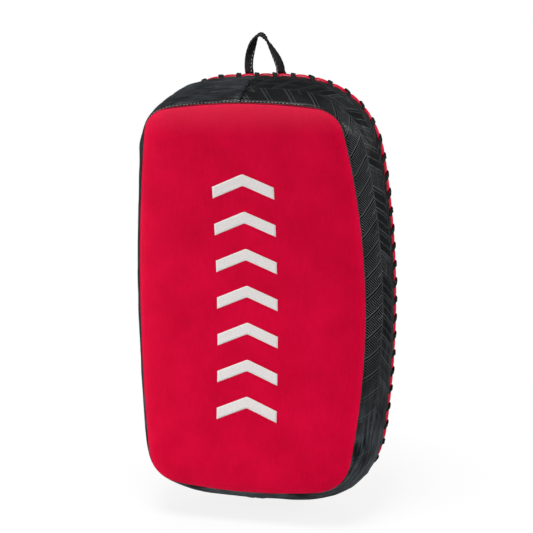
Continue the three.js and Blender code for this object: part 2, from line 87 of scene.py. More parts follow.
SHIFT = BEND - (BEND + CUSHION_TOP) * math.cos(FACET / BEND)


# --- the bent body ---
def bend(x, out, s):
    """Points in space from places on the flat pad."""
    x, out, s = np.broadcast_arrays(np.asarray(x, float), out, s)
    a = s / BEND
    return np.stack([x, (BEND + out) * np.cos(a) - BEND + SHIFT, (BEND + out) * np.sin(a)], -1)


def raised(x, out, s):
    """Bent points, and the way straight out of the panel at each."""
    points = bend(x, out, s)
    return points, bend(x, out + 1, s) - points


def quad(p, q, r, a=0.0, b=1.0, n=90):
    """Part of a quadratic curve from p to r, pulled towards q."""
    t = np.linspace(a, b, n)[:, None]
    return (1 - t) ** 2 * np.array(p) + 2 * t * (1 - t) * np.array(q) + t * t * np.array(r)


@functools.lru_cache(maxsize=None)
def outline(out):
    """The outline's right half at a depth: fractions of its length, points, normals, length."""
    back = min(1.0, max(0.0, 1 + out / DEPTH))
    bulge = SIDE_BULGE * math.sin(math.pi * back) ** 0.8 if 0 < back < 1 else 0.0
    belly = BELLY * math.sin(math.pi * back)
    across = RIM_ACROSS * back + bulge
    above = SEAM_ABOVE + RIM_ABOVE * back + bulge
    below = SEAM_BELOW + RIM_BELOW * back + bulge
    rounder = min(1.0, ROUNDING * back)
    top_trim, bottom_trim = (a + (b - a) * rounder for a, b in (TOP_TRIM, BOTTOM_TRIM))
    top, bottom = (SEAM_TOP + across, above - BOW), (SEAM_BOTTOM + across, BOW - below)
    widest = 2 * (SEAM_MIDDLE + across + belly) - (top[0] + bottom[0]) / 2
    height = top[1] - bottom[1]
    first = quad((-top[0], top[1]), (0, above + BOW), top, 0.5, 1 - top_trim / (2 * top[0]))
    side = quad(top, (widest, 0), bottom, top_trim / height, 1 - bottom_trim / height, 220)
    last = quad(bottom, (0, -below - BOW), (-bottom[0], bottom[1]),
                bottom_trim / (2 * bottom[0]), 0.5)
    path = np.concatenate([
        first, quad(first[-1], top, side[0]), side, quad(side[-1], bottom, last[0]), last,
    ])
    path = path[np.r_[True, np.linalg.norm(np.diff(path, axis=0), axis=1) > 1e-6]]
    run = run_along(path)
    tangent = np.gradient(path, run, axis=0)
    tangent /= np.linalg.norm(tangent, axis=1)[:, None]
    return run / run[-1], path, np.stack([-tangent[:, 1], tangent[:, 0]], 1), run[-1]


def around(out, turn):
    """x, s and the outward normal's two parts, at turns round the outline at a depth."""
    turn = np.mod(turn, 1.0)
    left = turn > 0.5
    t = np.where(left, 2 - 2 * turn, 2 * turn)
    run, path, normal, _ = outline(float(out))
    flip = np.where(left, -1.0, 1.0)
    pick = lambda values: np.interp(t, run, values)
    return pick(path[:, 0]) * flip, pick(path[:, 1]), pick(normal[:, 0]) * flip, pick(normal[:, 1])


def run_along(points):
    """The length along a path at each of its points."""
    return np.r_[0, np.cumsum(np.linalg.norm(np.diff(points, axis=0), axis=1))]


def grid(a, b):
    """Every pair of a value of a and a value of b."""
    return np.stack(np.meshgrid(a, b, indexing="ij"), -1)


def angles(count):
    return 2 * math.pi * np.arange(count) / count


def rounded(t, half_a, half_b, power):
    """A superellipse's two coordinates at angles t."""
    shape = lambda v, half: half * np.sign(v) * np.abs(v) ** (2 / power)
    return shape(np.cos(t), half_a), shape(np.sin(t), half_b)


RIM = 2 * outline(0.0)[3]
PITCH = RIM / STITCHES
LACE_START = 0.5 + LACE_PHASE / PITCH


def wave(x, y, z=0.0, octaves=3):
    """Smooth noise between about -1 and 1 at arrays of points."""
    x, y, z = np.broadcast_arrays(x, y, z)
    flat = zip(x.ravel().tolist(), y.ravel().tolist(), z.ravel().tolist())
    return np.array([
        noise.fractal(Vector(p), 1.0, 2.0, octaves, noise_basis="PERLIN_ORIGINAL") for p in flat
    ]).reshape(x.shape)


def group(s, raised=0.0):
    """Places local (x, y, z) on the back panel at s: y straight out of it and z along the pad."""
    a, origin = s / BEND, bend(0, 0, s)

    def place(p):
        p = np.asarray(p, float)
        y, z = p[..., 1] + raised, p[..., 2]
        return np.stack([
            origin[0] + p[..., 0],
            origin[1] + y * math.cos(a) - z * math.sin(a),
            origin[2] + y * math.sin(a) + z * math.cos(a),
        ], -1)

    return place


def curve(controls, per=8, closed=False):
    """A smooth curve through rows of control values (Catmull-Rom)."""
    c = np.array(controls, float)
    n = len(c)
    spans = n if closed else n - 1
    rows = []
    for i in range(spans):
        if closed:
            a, b, d, e = (c[(i + k) % n] for k in (-1, 0, 1, 2))
        else:
            a, b, d, e = c[max(i - 1, 0)], c[i], c[i + 1], c[min(i + 2, n - 1)]
        for t in np.arange(per) / per:
            rows.append(0.5 * (2 * b + (d - a) * t + (2 * a - 5 * b + 4 * d - e) * t * t
                               + (3 * b - a - 3 * d + e) * t ** 3))
    if not closed:
        rows.append(c[-1])
    return np.array(rows)


def smooth(x, low, high):
    """0 at low and 1 at high, eased at both."""
    t = np.clip((x - low) / (high - low), 0, 1)
    return t * t * (3 - 2 * t)


# --- meshes ---
def quads(rows, columns, joined=False):
    """The faces between rows of closed loops of points."""
    i = np.arange(rows if joined else rows - 1)[:, None]
    j = np.arange(columns)[None, :]
    k, l = (i + 1) % rows * columns, (j + 1) % columns
    i = i * columns
    return np.stack([i + j, i + l, k + l, k + j], -1).reshape(-1, 4)


class Build:
    """Collects closed forms and makes one mesh of them."""

    def __init__(self):
        self.points, self.faces, self.uvs, self.count = [], [], [], 0

    def add(self, points, faces, uv):
        points = points.reshape(-1, 3)
        volume = 0.0
        for f in faces:
            for k in range(1, f.shape[1] - 1):
                a, b, c = points[f[:, 0]], points[f[:, k]], points[f[:, k + 1]]
                volume += np.einsum("ij,ij->", a, np.cross(b, c))
        for f in faces:
            f = f + self.count
            self.faces.extend((f if volume > 0 else f[:, ::-1]).tolist())
        self.points.append(points)
        self.uvs.append(uv.reshape(-1, 2))
        self.count += len(points)
        return self

    def loops(self, loops, uv=None, joined=False):
        """Skins rows of loops. The last joins the first, or a fan closes each end."""
        loops = np.asarray(loops, float)
        n, m = loops.shape[:2]
        if uv is None:
            around_run = np.linalg.norm(loops - np.roll(loops, 1, 1), axis=2).mean(0).cumsum()
            uv = grid(run_along(loops.mean(1)), around_run)
        points, faces = loops.reshape(-1, 3), [quads(n, m, joined)]
        uv = uv.reshape(-1, 2)
        if not joined:
            ends = np.stack([loops[0].mean(0), loops[-1].mean(0)])
            j = np.arange(m)
            l = (j + 1) % m
            first, last = n * m, n * m + 1
            faces.append(np.stack([np.full(m, first), l, j], -1))
            faces.append(np.stack([np.full(m, last), (n - 1) * m + j, (n - 1) * m + l], -1))
            points = np.concatenate([points, ends])
            uv = np.concatenate([uv, uv[:1], uv[-1:]])
        return self.add(points, faces, uv)

    def sheet(self, front, back, uv):
        """The closed form between two grids of points."""
        n, m = front.shape[:2]
        loops = np.concatenate([front, back[:, ::-1]], 1)
        uvs = np.concatenate([uv, uv[:, ::-1]], 1)
        w, j = 2 * m, np.arange(m - 1)
        cap = lambda row: np.stack([row + j, row + w - 1 - j, row + w - 2 - j, row + j + 1], -1)
        return self.add(loops, [quads(n, w), cap(0), cap((n - 1) * w)[:, ::-1]], uvs)

    def make(self, name, material, slot, stands_for=(), body="pad"):
        mesh = bpy.data.meshes.new(name)
        mesh.from_pydata((np.concatenate(self.points) * MM).tolist(), [], self.faces)
        uv = np.concatenate(self.uvs) * MM
        corner = np.zeros(len(mesh.loops), np.int32)
        mesh.loops.foreach_get("vertex_index", corner)
        layer = mesh.uv_layers.new(name="UVMap")
        layer.data.foreach_set("uv", uv[corner].astype(np.float32).ravel())
        mesh.update()
        return piece(name, mesh, material, stands_for, body)


def blended(obj, body, place, low, high):
    """Bakes an object's transform into its mesh. body is not used, and the placed local points are
    thrown away.
    """
    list(place([low, high]) * MM)
    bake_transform(obj)


def shade_smooth(mesh):
    mesh.polygons.foreach_set("use_smooth", [True] * len(mesh.polygons))


def piece(name, mesh, material, stands_for=(), body="pad"):
    """An object that moves with a body and stands for CAD nodes, which it hides. With body None it
    is attached to nothing.
    """
    mesh.materials.clear()
    mesh.materials.append(material)
    shade_smooth(mesh)
    obj = bpy.data.objects.new(name, mesh)
    bpy.context.scene.collection.objects.link(obj)
    if body:
        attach(obj, body)
    if stands_for:
        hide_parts(*stands_for)
    return obj


def unit(v):
    return v / np.maximum(np.linalg.norm(v, axis=-1, keepdims=True), 1e-9)


def square(up, along):
    """The part of up that is square to along, made a unit long."""
    return unit(up - (up * along).sum(1, keepdims=True) * along)


def tangents(points, closed=False):
    if closed:
        return unit(np.roll(points, -1, 0) - np.roll(points, 1, 0))
    return unit(np.gradient(points, axis=0))


def sweep(points, side, up, section):
    """Loops of a section (side, up) carried along points."""
    if section.ndim == 2:
        section = np.broadcast_to(section, (len(points),) + section.shape)
    return points[:, None] + section[..., :1] * side[:, None] + section[..., 1:] * up[:, None]


def circle(radius_a, radius_b, n=16, power=2.0):
    t = 2 * math.pi * (np.arange(n) + 0.5) / n
    return np.stack(rounded(t, radius_a, radius_b, power), -1)


def flat_section(width, thickness, columns=9):
    """A flat strip's section with rounded edges."""
    a = np.concatenate([[-1, -0.985, -0.95], np.linspace(-0.88, 0.88, columns), [0.95, 0.985, 1]])
    b = np.sqrt(1 - np.abs(a) ** 22)
    top = np.stack([a * width / 2, b * thickness / 2], -1)
    return np.concatenate([top, (top * [1, -1])[1:-1][::-1]])


def resample(points, others, spacing):
    """Both rows of points at even steps along the first."""
    run = run_along(points)
    count = max(2, int(run[-1] / spacing))
    at = (np.arange(count) + 0.5) * run[-1] / count
    pick = lambda rows: np.stack([np.interp(at, run, rows[:, k]) for k in range(3)], 1)
    return pick(points), pick(others)


# Along a stitch from -0.5 to 0.5, and its thickness there.
STITCH_STATIONS = np.array([
    [-0.5, 0.3], [-0.42, 0.72], [-0.2, 1], [0.2, 1], [0.42, 0.72], [0.5, 0.3]])
STITCH_TILT = 0.12


def stitches(build, points, ups, spacing, length, width=0.8, height=0.5):
    """Short capsules of thread along a path, lying on the surface with normals ups."""
    centres, up = resample(points, unit(ups), spacing)
    along = tangents(centres)
    up = square(up, along)
    side = np.cross(along, up)
    along = unit(along + STITCH_TILT * side)
    side = np.cross(along, up)
    ring = circle(width / 2, height / 2, 6)
    for c, a, b, u in zip(centres, along, side, up):
        middle = c + STITCH_STATIONS[:, :1] * length * a
        thick = STITCH_STATIONS[:, 1:, None]
        build.loops(middle[:, None] + thick * (ring[:, :1] * b + ring[:, 1:] * u))
    return build


def sew(build, place, line, up, spacing, length, width=0.8, height=0.5):
    """Stitches along a local line, on the side that up points to."""
    ups = place(line + up) - place(line)
    return stitches(build, place(line), ups, spacing, length, width, height)


def straight_runs(corners, count):
    """Points from each corner to the next, as their two coordinates."""
    for a, b in zip(corners, corners[1:]):
        yield np.linspace(a, b, count).T


# --- materials ---
# Noise scales are per millimetre, bump depths are millimetres and colours are linear.
class Value:
    """A shader value that can be used in plain arithmetic."""

    def __init__(self, shader, socket):
        self.shader, self.socket = shader, socket

    def math(self, kind, *others):
        made = self.shader.node("Math", dict(enumerate((self,) + others)), operation=kind)
        return Value(self.shader, made.outputs[0])

    def __rsub__(self, o):
        return (self * -1.0) + o

    def rise(self, low, high):
        """0 below low and 1 above high, or the other way round if low is the larger."""
        flip = low > high
        made = self.shader.node("MapRange", {
            "Value": self, "From Min": min(low, high), "From Max": max(low, high),
            "To Min": 1.0 if flip else 0.0, "To Max": 0.0 if flip else 1.0,
        }, interpolation_type="SMOOTHSTEP")
        return Value(self.shader, made.outputs[0])

    def triangle(self, period):
        """A triangle wave of that period between 0 and 1."""
        return ((self / period).fract() * 2.0 - 1.0).abs()

    def line(self, at, period, wide, narrow):
        """1 on a line where this is at, which fades out between those half widths."""
        return ((self - at).abs() * period).rise(wide, narrow)


for method, kind in {
    "__add__": "ADD", "__radd__": "ADD", "__sub__": "SUBTRACT", "__mul__": "MULTIPLY",
    "__truediv__": "DIVIDE", "abs": "ABSOLUTE", "floor": "FLOOR", "fract": "FRACT", "sin": "SINE",
    "power": "POWER", "most": "MAXIMUM",
}.items():
    setattr(Value, method, functools.partialmethod(Value.math, kind))


class Shader:
    def __init__(self, name):
        self.material = bpy.data.materials.new(name)
        self.material.use_nodes = True
        self.tree = self.material.node_tree
        self.tree.nodes.clear()
        self.surface = self.node("BsdfPrincipled")
        self.output = self.node("OutputMaterial", {"Surface": self.surface.outputs[0]})

    def node(self, kind, inputs=None, **options):
        """A new node with its inputs plugged, by name or number."""
        made = self.tree.nodes.new("ShaderNode" + kind)
        for name, value in options.items():
            setattr(made, name, value)
        for name, value in (inputs or {}).items():
            self.plug(value, made.inputs[name])
        return made

    def plug(self, value, target):
        if isinstance(value, Value):
            self.tree.links.new(value.socket, target)
        elif isinstance(value, bpy.types.NodeSocket):
            self.tree.links.new(value, target)
        elif isinstance(value, tuple) and len(target.default_value) == 4:
            target.default_value = (*value, 1.0)
        else:
            target.default_value = value

    def parts(self, vector, count):
        """The parts of a vector in metres, as millimetres."""
        split = self.node("SeparateXYZ", {0: vector})
        return [Value(self, split.outputs[i]) * 1000.0 for i in range(count)]

    def uv(self):
        return self.parts(self.node("UVMap", uv_map="UVMap").outputs[0], 2)

    def place(self):
        """The object's own millimetres as x, y and z."""
        return self.parts(self.node("TexCoord").outputs["Object"], 3)

    def vector(self, x, y, z=0.0):
        return self.node("CombineXYZ", {0: x, 1: y, 2: z}).outputs[0]

    def noise(self, vector, scale, detail=2.0, rough=0.5):
        made = self.node("TexNoise", {
            "Vector": vector, "Scale": scale, "Detail": detail, "Roughness": rough})
        return Value(self, made.outputs[0])

    def cells(self, vector, scale, feature="F1"):
        made = self.node("TexVoronoi", {"Vector": vector, "Scale": scale}, feature=feature)
        return Value(self, made.outputs["Distance"])

    def mix(self, factor, a, b):
        return self.node("Mix", {0: factor, 6: a, 7: b}, data_type="RGBA").outputs[2]

    def finish(self, color, roughness, bump=None, depth=0.2, specular=0.5, **more):
        """Sets the surface. depth is the height of a bump that goes from 0 to 1."""
        more.update(Base_Color=color, Roughness=roughness, Specular_IOR_Level=specular)
        for name, value in more.items():
            self.plug(value, self.surface.inputs[name.replace("_", " ")])
        if bump is not None:
            made = self.node("Bump", {"Distance": depth * MM, "Height": bump})
            self.plug(made.outputs[0], self.surface.inputs["Normal"])
        return self.material


def red_face_material():
    s = Shader("red_neoprene")
    x, z = s.uv()
    v = s.vector(x, z)
    streak = s.noise(s.vector(x, z * 0.12), 0.55, 3.0, 0.6)
    cloud = s.noise(v, 0.022, 4.0, 0.55)
    fine = s.noise(s.vector(x, z * 0.6), 0.5, 3.0, 0.7)
    rib = (x * 5.2).sin() * 0.5 + (z * 5.2).sin() * 0.25
    tone = cloud * 0.62 + streak * 0.2 + fine * 0.18
    color = s.mix(tone.rise(0.32, 0.68), (0.50, 0.0002, 0.025), (0.61, 0.0012, 0.035))
    # Painted highlight: the neoprene is painted paler along the top edge, for the sheen of the
    # light from above.
    color = s.mix(z.rise(158.0, 192.0) * 0.65, color, (0.66, 0.024, 0.064))
    bump = rib * 0.12 + fine * 0.7 + s.noise(v, 2.4, 2.0) * 0.3
    return s.finish(color, 0.72, bump, 0.25, 0.03, Sheen_Weight=0.15, Sheen_Roughness=0.45,
                    Sheen_Tint=(1.0, 0.12, 0.25))


def red_vinyl_material(name, roughness=0.36):
    s = Shader(name)
    x, z = s.uv()
    v = s.vector(x, z)
    grain = s.cells(v, 0.9, "DISTANCE_TO_EDGE").rise(0.0, 0.25)
    soft = s.noise(v, 0.05, 3.0)
    color = s.mix(soft.rise(0.35, 0.65), (0.56, 0.002, 0.028), (0.64, 0.008, 0.042))
    rough = roughness + s.noise(v, 0.3, 2.0) * 0.14
    return s.finish(color, rough, grain * 0.5 + s.noise(v, 0.2, 2.0) * 0.6, 0.07, 0.22)


# The gusset's embossing: u runs round the rim from the top, and v back from the strike face.
TILE_WIDE, TILE_TALL, TILE_SLOPE = 22.0, 19.5, 0.62
HATCH_PITCH, REAR_HATCH_PITCH = 2.7, 3.1


def tile_lines(s, u, v, plane):
    """The raised lines between and in the slanted tiles, their hatching, and where that shows."""
    wobble = s.noise(plane, 0.05, 2.0) * 1.6
    column = (v + wobble - 3.0) / TILE_WIDE
    cell = column.floor()
    odd = (cell / 2.0).fract() * 2.0
    inside = column - cell
    sign = 1.0 - odd * 2.0
    slanted = sign * (inside - 0.5) * (TILE_WIDE * TILE_SLOPE)
    row = (u + slanted + odd * (TILE_TALL * 0.5)) / TILE_TALL
    tile = row.floor()
    across = row - tile
    from_edge = lambda t, period: ((t - 0.5).abs() * -1.0 + 0.5) * period
    border = from_edge(across, TILE_TALL).rise(1.0, 0.4)
    second = across.line(0.17, TILE_TALL, 0.75, 0.3) * 0.8
    rib = from_edge(inside, TILE_WIDE).rise(1.5, 0.6) * 0.3
    # Some tiles behind the front row are split lengthways, and some crosswise.
    chance = ((cell * 12.9 + tile * 78.2).sin() * 437.5).fract()
    split = inside.line(0.45, TILE_WIDE, 0.8, 0.35) * chance.rise(0.35, 0.5) * 0.8
    cross = across.line(0.6, TILE_TALL, 0.8, 0.35) * chance.rise(0.62, 0.48) * 0.8
    lines = border.most(second).most(rib).most(split.most(cross) * v.rise(16.0, 20.0))
    lean = u.rise(450.0, 90.0) * 0.95 + 0.42
    body = across.rise(0.2, 0.3) * across.rise(0.98, 0.9)
    hatch = (u - v * lean).triangle(HATCH_PITCH).rise(0.62, 0.92) * body
    rear = (u + v * lean).triangle(REAR_HATCH_PITCH).rise(0.5, 0.95) * chance.rise(0.35, 0.6)
    return lines, hatch, rear


def gusset_material(name, embossed):
    """Black vinyl embossed with slanted tiles; those beside the strike face are hatched."""
    s = Shader(name)
    u, v = s.uv()
    plane = s.vector(u, v)
    lines, hatch, rear = tile_lines(s, u, v, plane)
    front = v.rise(26.0, 23.0)
    side = u.rise(50.0, 85.0)
    not_low = u.rise(RIM / 2 - 120.0, RIM / 2 - 230.0)
    hatched = (hatch * front).most(rear * (1.0 - front) * 0.45) * side * not_low
    clear = v.rise(0.9, 2.4)
    faint = s.noise(plane, 0.03, 2.0).rise(0.3, 0.6)
    strength = (clear * (side * 0.5 + 0.5) * (faint * 0.35 + 0.65) * embossed
                * (not_low * 0.75 + 0.25))
    # Painted sheen: the bare vinyl is painted lighter in streaks and clouds, most of all low on the
    # pad and on the left half.
    streak = s.noise(s.vector(u * 0.16, v), 0.28, 4.0, 0.65).rise(0.40, 0.66)
    haze = s.noise(plane, 0.016, 3.0).rise(0.35, 0.65)
    painted_sheen = u.rise(290.0, 440.0) * 1.1 + (1.0 - embossed) + 0.05
    base = s.mix((streak * 0.6 + haze * 0.4) * painted_sheen,
                 (0.0032, 0.0037, 0.0040), (0.0740, 0.0860, 0.0970))
    deep = s.mix(front * side * not_low * embossed * 0.92, base, (0.0010, 0.0012, 0.0013))
    # Painted shade: the vinyl is painted almost black in the narrow valley along the seam, where
    # shade falls.
    seam = s.mix(clear, (0.0006, 0.0007, 0.0008), deep)
    # The raised lines and hatching are painted lighter grey, partly as their own colour and partly
    # as painted highlight, strongest in the front band.
    ridged = s.mix(lines * (front * 0.3 + 0.5) * strength, seam, (0.088, 0.093, 0.098))
    color = s.mix(hatched * strength * 0.85, ridged, (0.125, 0.132, 0.140))
    rough = s.noise(plane, 0.12, 3.0) * 0.2 + 0.30 - streak * 0.08 - hatched * embossed * 0.14
    grain = s.cells(plane, 1.1).rise(0.0, 0.9)
    fold = s.noise(s.vector(u * 0.5, v), 0.12, 2.0)
    relief = lines * (front * 0.25 + 0.2) * strength + hatched * strength * 0.35
    polish = front * u.rise(88.0, 118.0) * not_low * embossed * -0.22 + 0.26
    shine = v.rise(2.5, 6.5) * polish + 0.04
    return s.finish(color, rough, relief + grain * 0.1 + fold * 0.5, 0.3, shine)


def black_vinyl_material(name="black_vinyl", tint=1.0, roughness=0.42):
    s = Shader(name)
    v = s.vector(*s.place())
    grain = s.cells(v, 0.75, "DISTANCE_TO_EDGE").rise(0.0, 0.22)
    soft = s.noise(v, 0.06, 3.0)
    light = (0.021 * tint, 0.022 * tint, 0.023 * tint)
    color = s.mix(soft.rise(0.3, 0.7), (0.010 * tint,) * 3, light)
    rough = s.noise(v, 0.2, 2.0) * 0.16 + roughness
    return s.finish(color, rough, grain * 0.7 + soft * 0.5, 0.18, 0.4)


def cord_material():
    s = Shader("black_lace")
    u, v = s.uv()
    rib = (v * 7.0).sin() * 0.5 + 0.5
    fleck = s.noise(s.vector(u * 2.0, v * 0.6), 1.2, 3.0)
    color = s.mix(fleck.rise(0.4, 0.75), (0.004, 0.004, 0.004), (0.014, 0.014, 0.015))
    return s.finish(color, 0.62, rib * 0.6 + fleck * 0.5, 0.2, 0.3)


YARN = 1.7  # width of one of the webbing's yarns


def webbing_material():
    s = Shader("black_webbing")
    u, v = s.uv()
    stagger = ((u / YARN).floor() / 2.0).fract() * 2.0
    rib = ((v / 1.5 + stagger * 0.5).fract() - 0.5).abs() * 2.0
    over = ((u / YARN).fract() - 0.5).abs() * 2.0
    yarn = (1.0 - rib.power(2.0)) * (1.0 - over.power(3.0))
    fleck = s.noise(s.vector(u, v), 1.0, 3.0)
    shade = (yarn * 0.7 + fleck * 0.4).rise(0.2, 0.9)
    color = s.mix(shade, (0.003, 0.003, 0.0034), (0.018, 0.018, 0.020))
    return s.finish(color, 0.75, yarn + fleck * 0.2, 0.5, 0.25,
                    Sheen_Weight=0.15, Sheen_Roughness=0.4)


def tape_material(name, hooks):
    s = Shader(name)
    u, v = s.uv()
    p = s.vector(u, v)
    pile = s.cells(p, 1.1 if hooks else 0.8)
    fuzz = s.noise(p, 2.4, 4.0, 0.75)
    height = (pile.rise(0.55, 0.1) if hooks else fuzz * 0.8 + pile * 0.4)
    color = s.mix(height.rise(0.2, 0.9), (0.006,) * 3, (0.035, 0.035, 0.038))
    return s.finish(color, 0.9, height, 0.9, 0.2, Sheen_Weight=0.0 if hooks else 0.35)


def foam_material(name, dark, light):
    s = Shader(name)
    p = s.vector(*s.place())
    pores = s.cells(p, 0.9).rise(0.1, 0.8)
    color = s.mix((pores * 0.6 + s.noise(p, 0.08, 3.0) * 0.5).rise(0.2, 0.9), dark, light)
    return s.finish(color, 0.95, pores, 0.5, 0.15)


def steel_material():
    s = Shader("brushed_steel")
    x, y, z = s.place()
    drawn = s.noise(s.vector(x * 0.4, y, z), 1.6, 4.0, 0.7)
    color = s.mix(drawn.rise(0.3, 0.8), (0.52, 0.53, 0.55), (0.74, 0.75, 0.77))
    return s.finish(color, 0.2 + drawn * 0.16, drawn, 0.04, 0.5, Metallic=1.0)


def thread_material(name, dark, light):
    s = Shader(name)
    u, v = s.uv()
    twist = ((u * 5.0 + v * 6.0).sin() * 0.5 + 0.5)
    return s.finish(s.mix(twist, dark, light), 0.55, twist, 0.15, 0.3)


def print_material():
    s = Shader("white_print")
    x, z = s.uv()
    p = s.vector(x, z)
    wear = s.noise(p, 0.6, 4.0, 0.7)
    color = s.mix(wear.rise(0.35, 0.75), (0.66, 0.63, 0.62), (0.76, 0.745, 0.73))
    return s.finish(color, 0.6, wear * 0.6 + s.noise(p, 2.5, 2.0) * 0.4, 0.15, 0.3)


def floor_material():
    s = Shader("pale_floor")
    x, y, _ = s.place()
    tone = s.noise(s.vector(x, y), 0.004, 3.0)
    s.finish(s.mix(tone, (0.93, 0.93, 0.93), (0.95, 0.95, 0.95)), 0.7, None, 0.0, 0.1)
    # Away from the object the floor fades into the white backdrop, for the camera only.
    far = (x * x + y * y).power(0.5).rise(150.0, 900.0) * 0.16 + 0.84
    seen = Value(s, s.node("LightPath").outputs["Is Camera Ray"])
    glow = s.node("Emission", {"Strength": 1.0})
    mixer = s.node("MixShader", {0: far * seen, 1: s.surface.outputs[0], 2: glow.outputs[0]})
    s.plug(mixer.outputs[0], s.output.inputs["Surface"])
    return s.material


RED_FACE = red_face_material()
RED_BEAD = red_vinyl_material("red_vinyl_bead", 0.3)
# The left half's copy carries painted sheen: it is painted lighter, and its embossing is fainter.
GUSSET = {"gusset_right": gusset_material("embossed_vinyl_right", 1.0),
          "gusset_left": gusset_material("embossed_vinyl_left_sheen", 0.35)}
VINYL = black_vinyl_material()
PADDED = black_vinyl_material("soft_black_vinyl", 1.15, 0.46)
CORD = cord_material()
WEBBING = webbing_material()
LOOP_TAPE = tape_material("black_loop_tape", False)
HOOK_TAPE = tape_material("black_hook_tape", True)
GREY_FOAM = foam_material("grey_foam", (0.06, 0.065, 0.07), (0.12, 0.125, 0.13))
CREAM_FOAM = foam_material("cream_foam", (0.5, 0.45, 0.35), (0.68, 0.64, 0.53))
STEEL = steel_material()
PALE_THREAD = thread_material("pale_thread", (0.30, 0.29, 0.28), (0.62, 0.60, 0.58))
DARK_THREAD = thread_material("dark_thread", (0.01, 0.01, 0.011), (0.05, 0.05, 0.052))
RED_THREAD = thread_material("red_thread", (0.3, 0.002, 0.015), (0.55, 0.01, 0.04))
PRINT = print_material()

# --- the strike face ---
# Rings of the face as fractions of the way to its edge, close together where it rolls over.
FACE_RINGS = np.concatenate([np.linspace(0.03, 0.9, 34), 1 - np.array(
    [0.085, 0.07, 0.055, 0.043, 0.033, 0.025, 0.018, 0.012, 0.007, 0.003, 0.0])])
FACE_LIP = ((0.8, -78.35), (0.0, -78.1), (-1.4, -77.9), (-3.4, -77.9), (-4.6, -78.4))
FACE_BACK = (0.93, 0.8, 0.55, 0.25, 0.03)
FACE_THICK = 2.2
FACE_PROUD, SHOULDER = 2.2, 2.1  # how far it rolls back at its edge, sharply and softly
CHEVRON = {"count": 7, "pitch": 37.0, "half": 27.0, "stroke": 11.44, "rise": 13.0,
           "middle": (0.3, 0.6)}
PRINT_PROUD, PRINT_SUNK = 0.22, 0.6


def face_out(x, s, scale, reach):
    """How far out the face's surface is: domed, dented a little, and rolled over at its seam."""
    from_edge = (1 - scale) * reach
    roll = FACE_PROUD * np.exp(-((from_edge / 2.1) ** 1.4))
    shoulder = SHOULDER * np.exp(-((from_edge / 8.5) ** 1.4))
    dents = 0.45 * wave(x / 46 + 3.1, s / 46) + 0.18 * wave(x / 14, s / 22 + 8)
    calm = np.clip(from_edge / 10, 0, 1)
    return -DEPTH - DOME * (1 - scale ** 4) + roll + shoulder - FACE_PROUD + dents * calm


def strike_face():
    x, s, nx, ns = around(-DEPTH, np.arange(360) / 360)
    reach = x * nx + s * ns
    swell = 1.3 * nx ** 2 + 0.5 * np.clip(ns, 0, 1) ** 2 + 1.6 * np.clip(-ns, 0, 1) ** 2
    loops = []
    for k in FACE_RINGS:
        proud = swell * k ** 12
        loops.append(bend(x * k + proud * nx, face_out(x * k, s * k, k, reach), s * k + proud * ns))
    lip = [(x + grow * nx, s + grow * ns) for grow, _ in FACE_LIP]
    loops += [bend(px, out, ps) for (px, ps), (_, out) in zip(lip, FACE_LIP)]
    loops += [bend(x * k, -DEPTH - DOME * (1 - k ** 4) + FACE_THICK, s * k) for k in FACE_BACK]
    flat = [(x * k, s * k) for k in FACE_RINGS] + lip + [(x * k, s * k) for k in FACE_BACK]
    Build().loops(loops, np.moveaxis(flat, 1, 2)).make(
        "strike_face_skin", RED_FACE, "red_vinyl", ["strike_face_cover"])


def chevron_prints():
    """Plain chevrons up the face, a thin raised print."""
    b = Build()
    a, w = np.moveaxis(grid(np.linspace(-1, 1, 41), np.linspace(0, 1, 7)), -1, 0)
    point = np.sqrt(a ** 2 + 0.0004)
    for i in range(CHEVRON["count"]):
        middle = CHEVRON["middle"][1] + (i - (CHEVRON["count"] - 1) / 2) * CHEVRON["pitch"]
        x = CHEVRON["middle"][0] + CHEVRON["half"] * a
        s = middle + CHEVRON["rise"] * (0.5 - point) + (w - 0.5) * CHEVRON["stroke"]
        out = face_out_free(x, s)
        b.sheet(bend(x, out - PRINT_PROUD, s), bend(x, out + PRINT_SUNK, s), np.stack([x, s], -1))
    b.make("chevron_print", PRINT, "red_vinyl")


def face_out_free(x, s):
    """The face's depth at any point well inside its edge."""
    turn = np.arange(720) / 720
    rx, rs, nx, ns = around(-DEPTH, turn)
    angle = np.arctan2(rx, rs)
    order = np.argsort(angle)
    want = np.arctan2(x, s)
    radius = np.interp(want, angle[order], np.hypot(rx, rs)[order], period=2 * math.pi)
    reach = np.interp(want, angle[order], (rx * nx + rs * ns)[order], period=2 * math.pi)
    return face_out(x, s, np.hypot(x, s) / radius, reach)


# --- the gusset ---
HOLE_OUT = -13.0
GROOVE, HUMP = 3.4, 5.4  # how far back from the strike face the sewn groove and its roll lie
STITCH_LENGTH = 3.2
RELIEF_FRONT, MEETING_GAP = -77.8, 0.2
GUSSET_ROWS = np.concatenate([
    [-79.0, -78.6, -78.1, -77.5], np.linspace(-76.9, -68, 15), np.linspace(-66.5, -8, 36),
])
FRONT_OUTS, FRONT_GROWS = (-79.0, -78.6, -78.1, -77.5, -76.0), (-2.4, -1.2, -0.5, -0.1, 0.0)


def bump_at(distance, width):
    return np.exp(-(distance / width) ** 2)


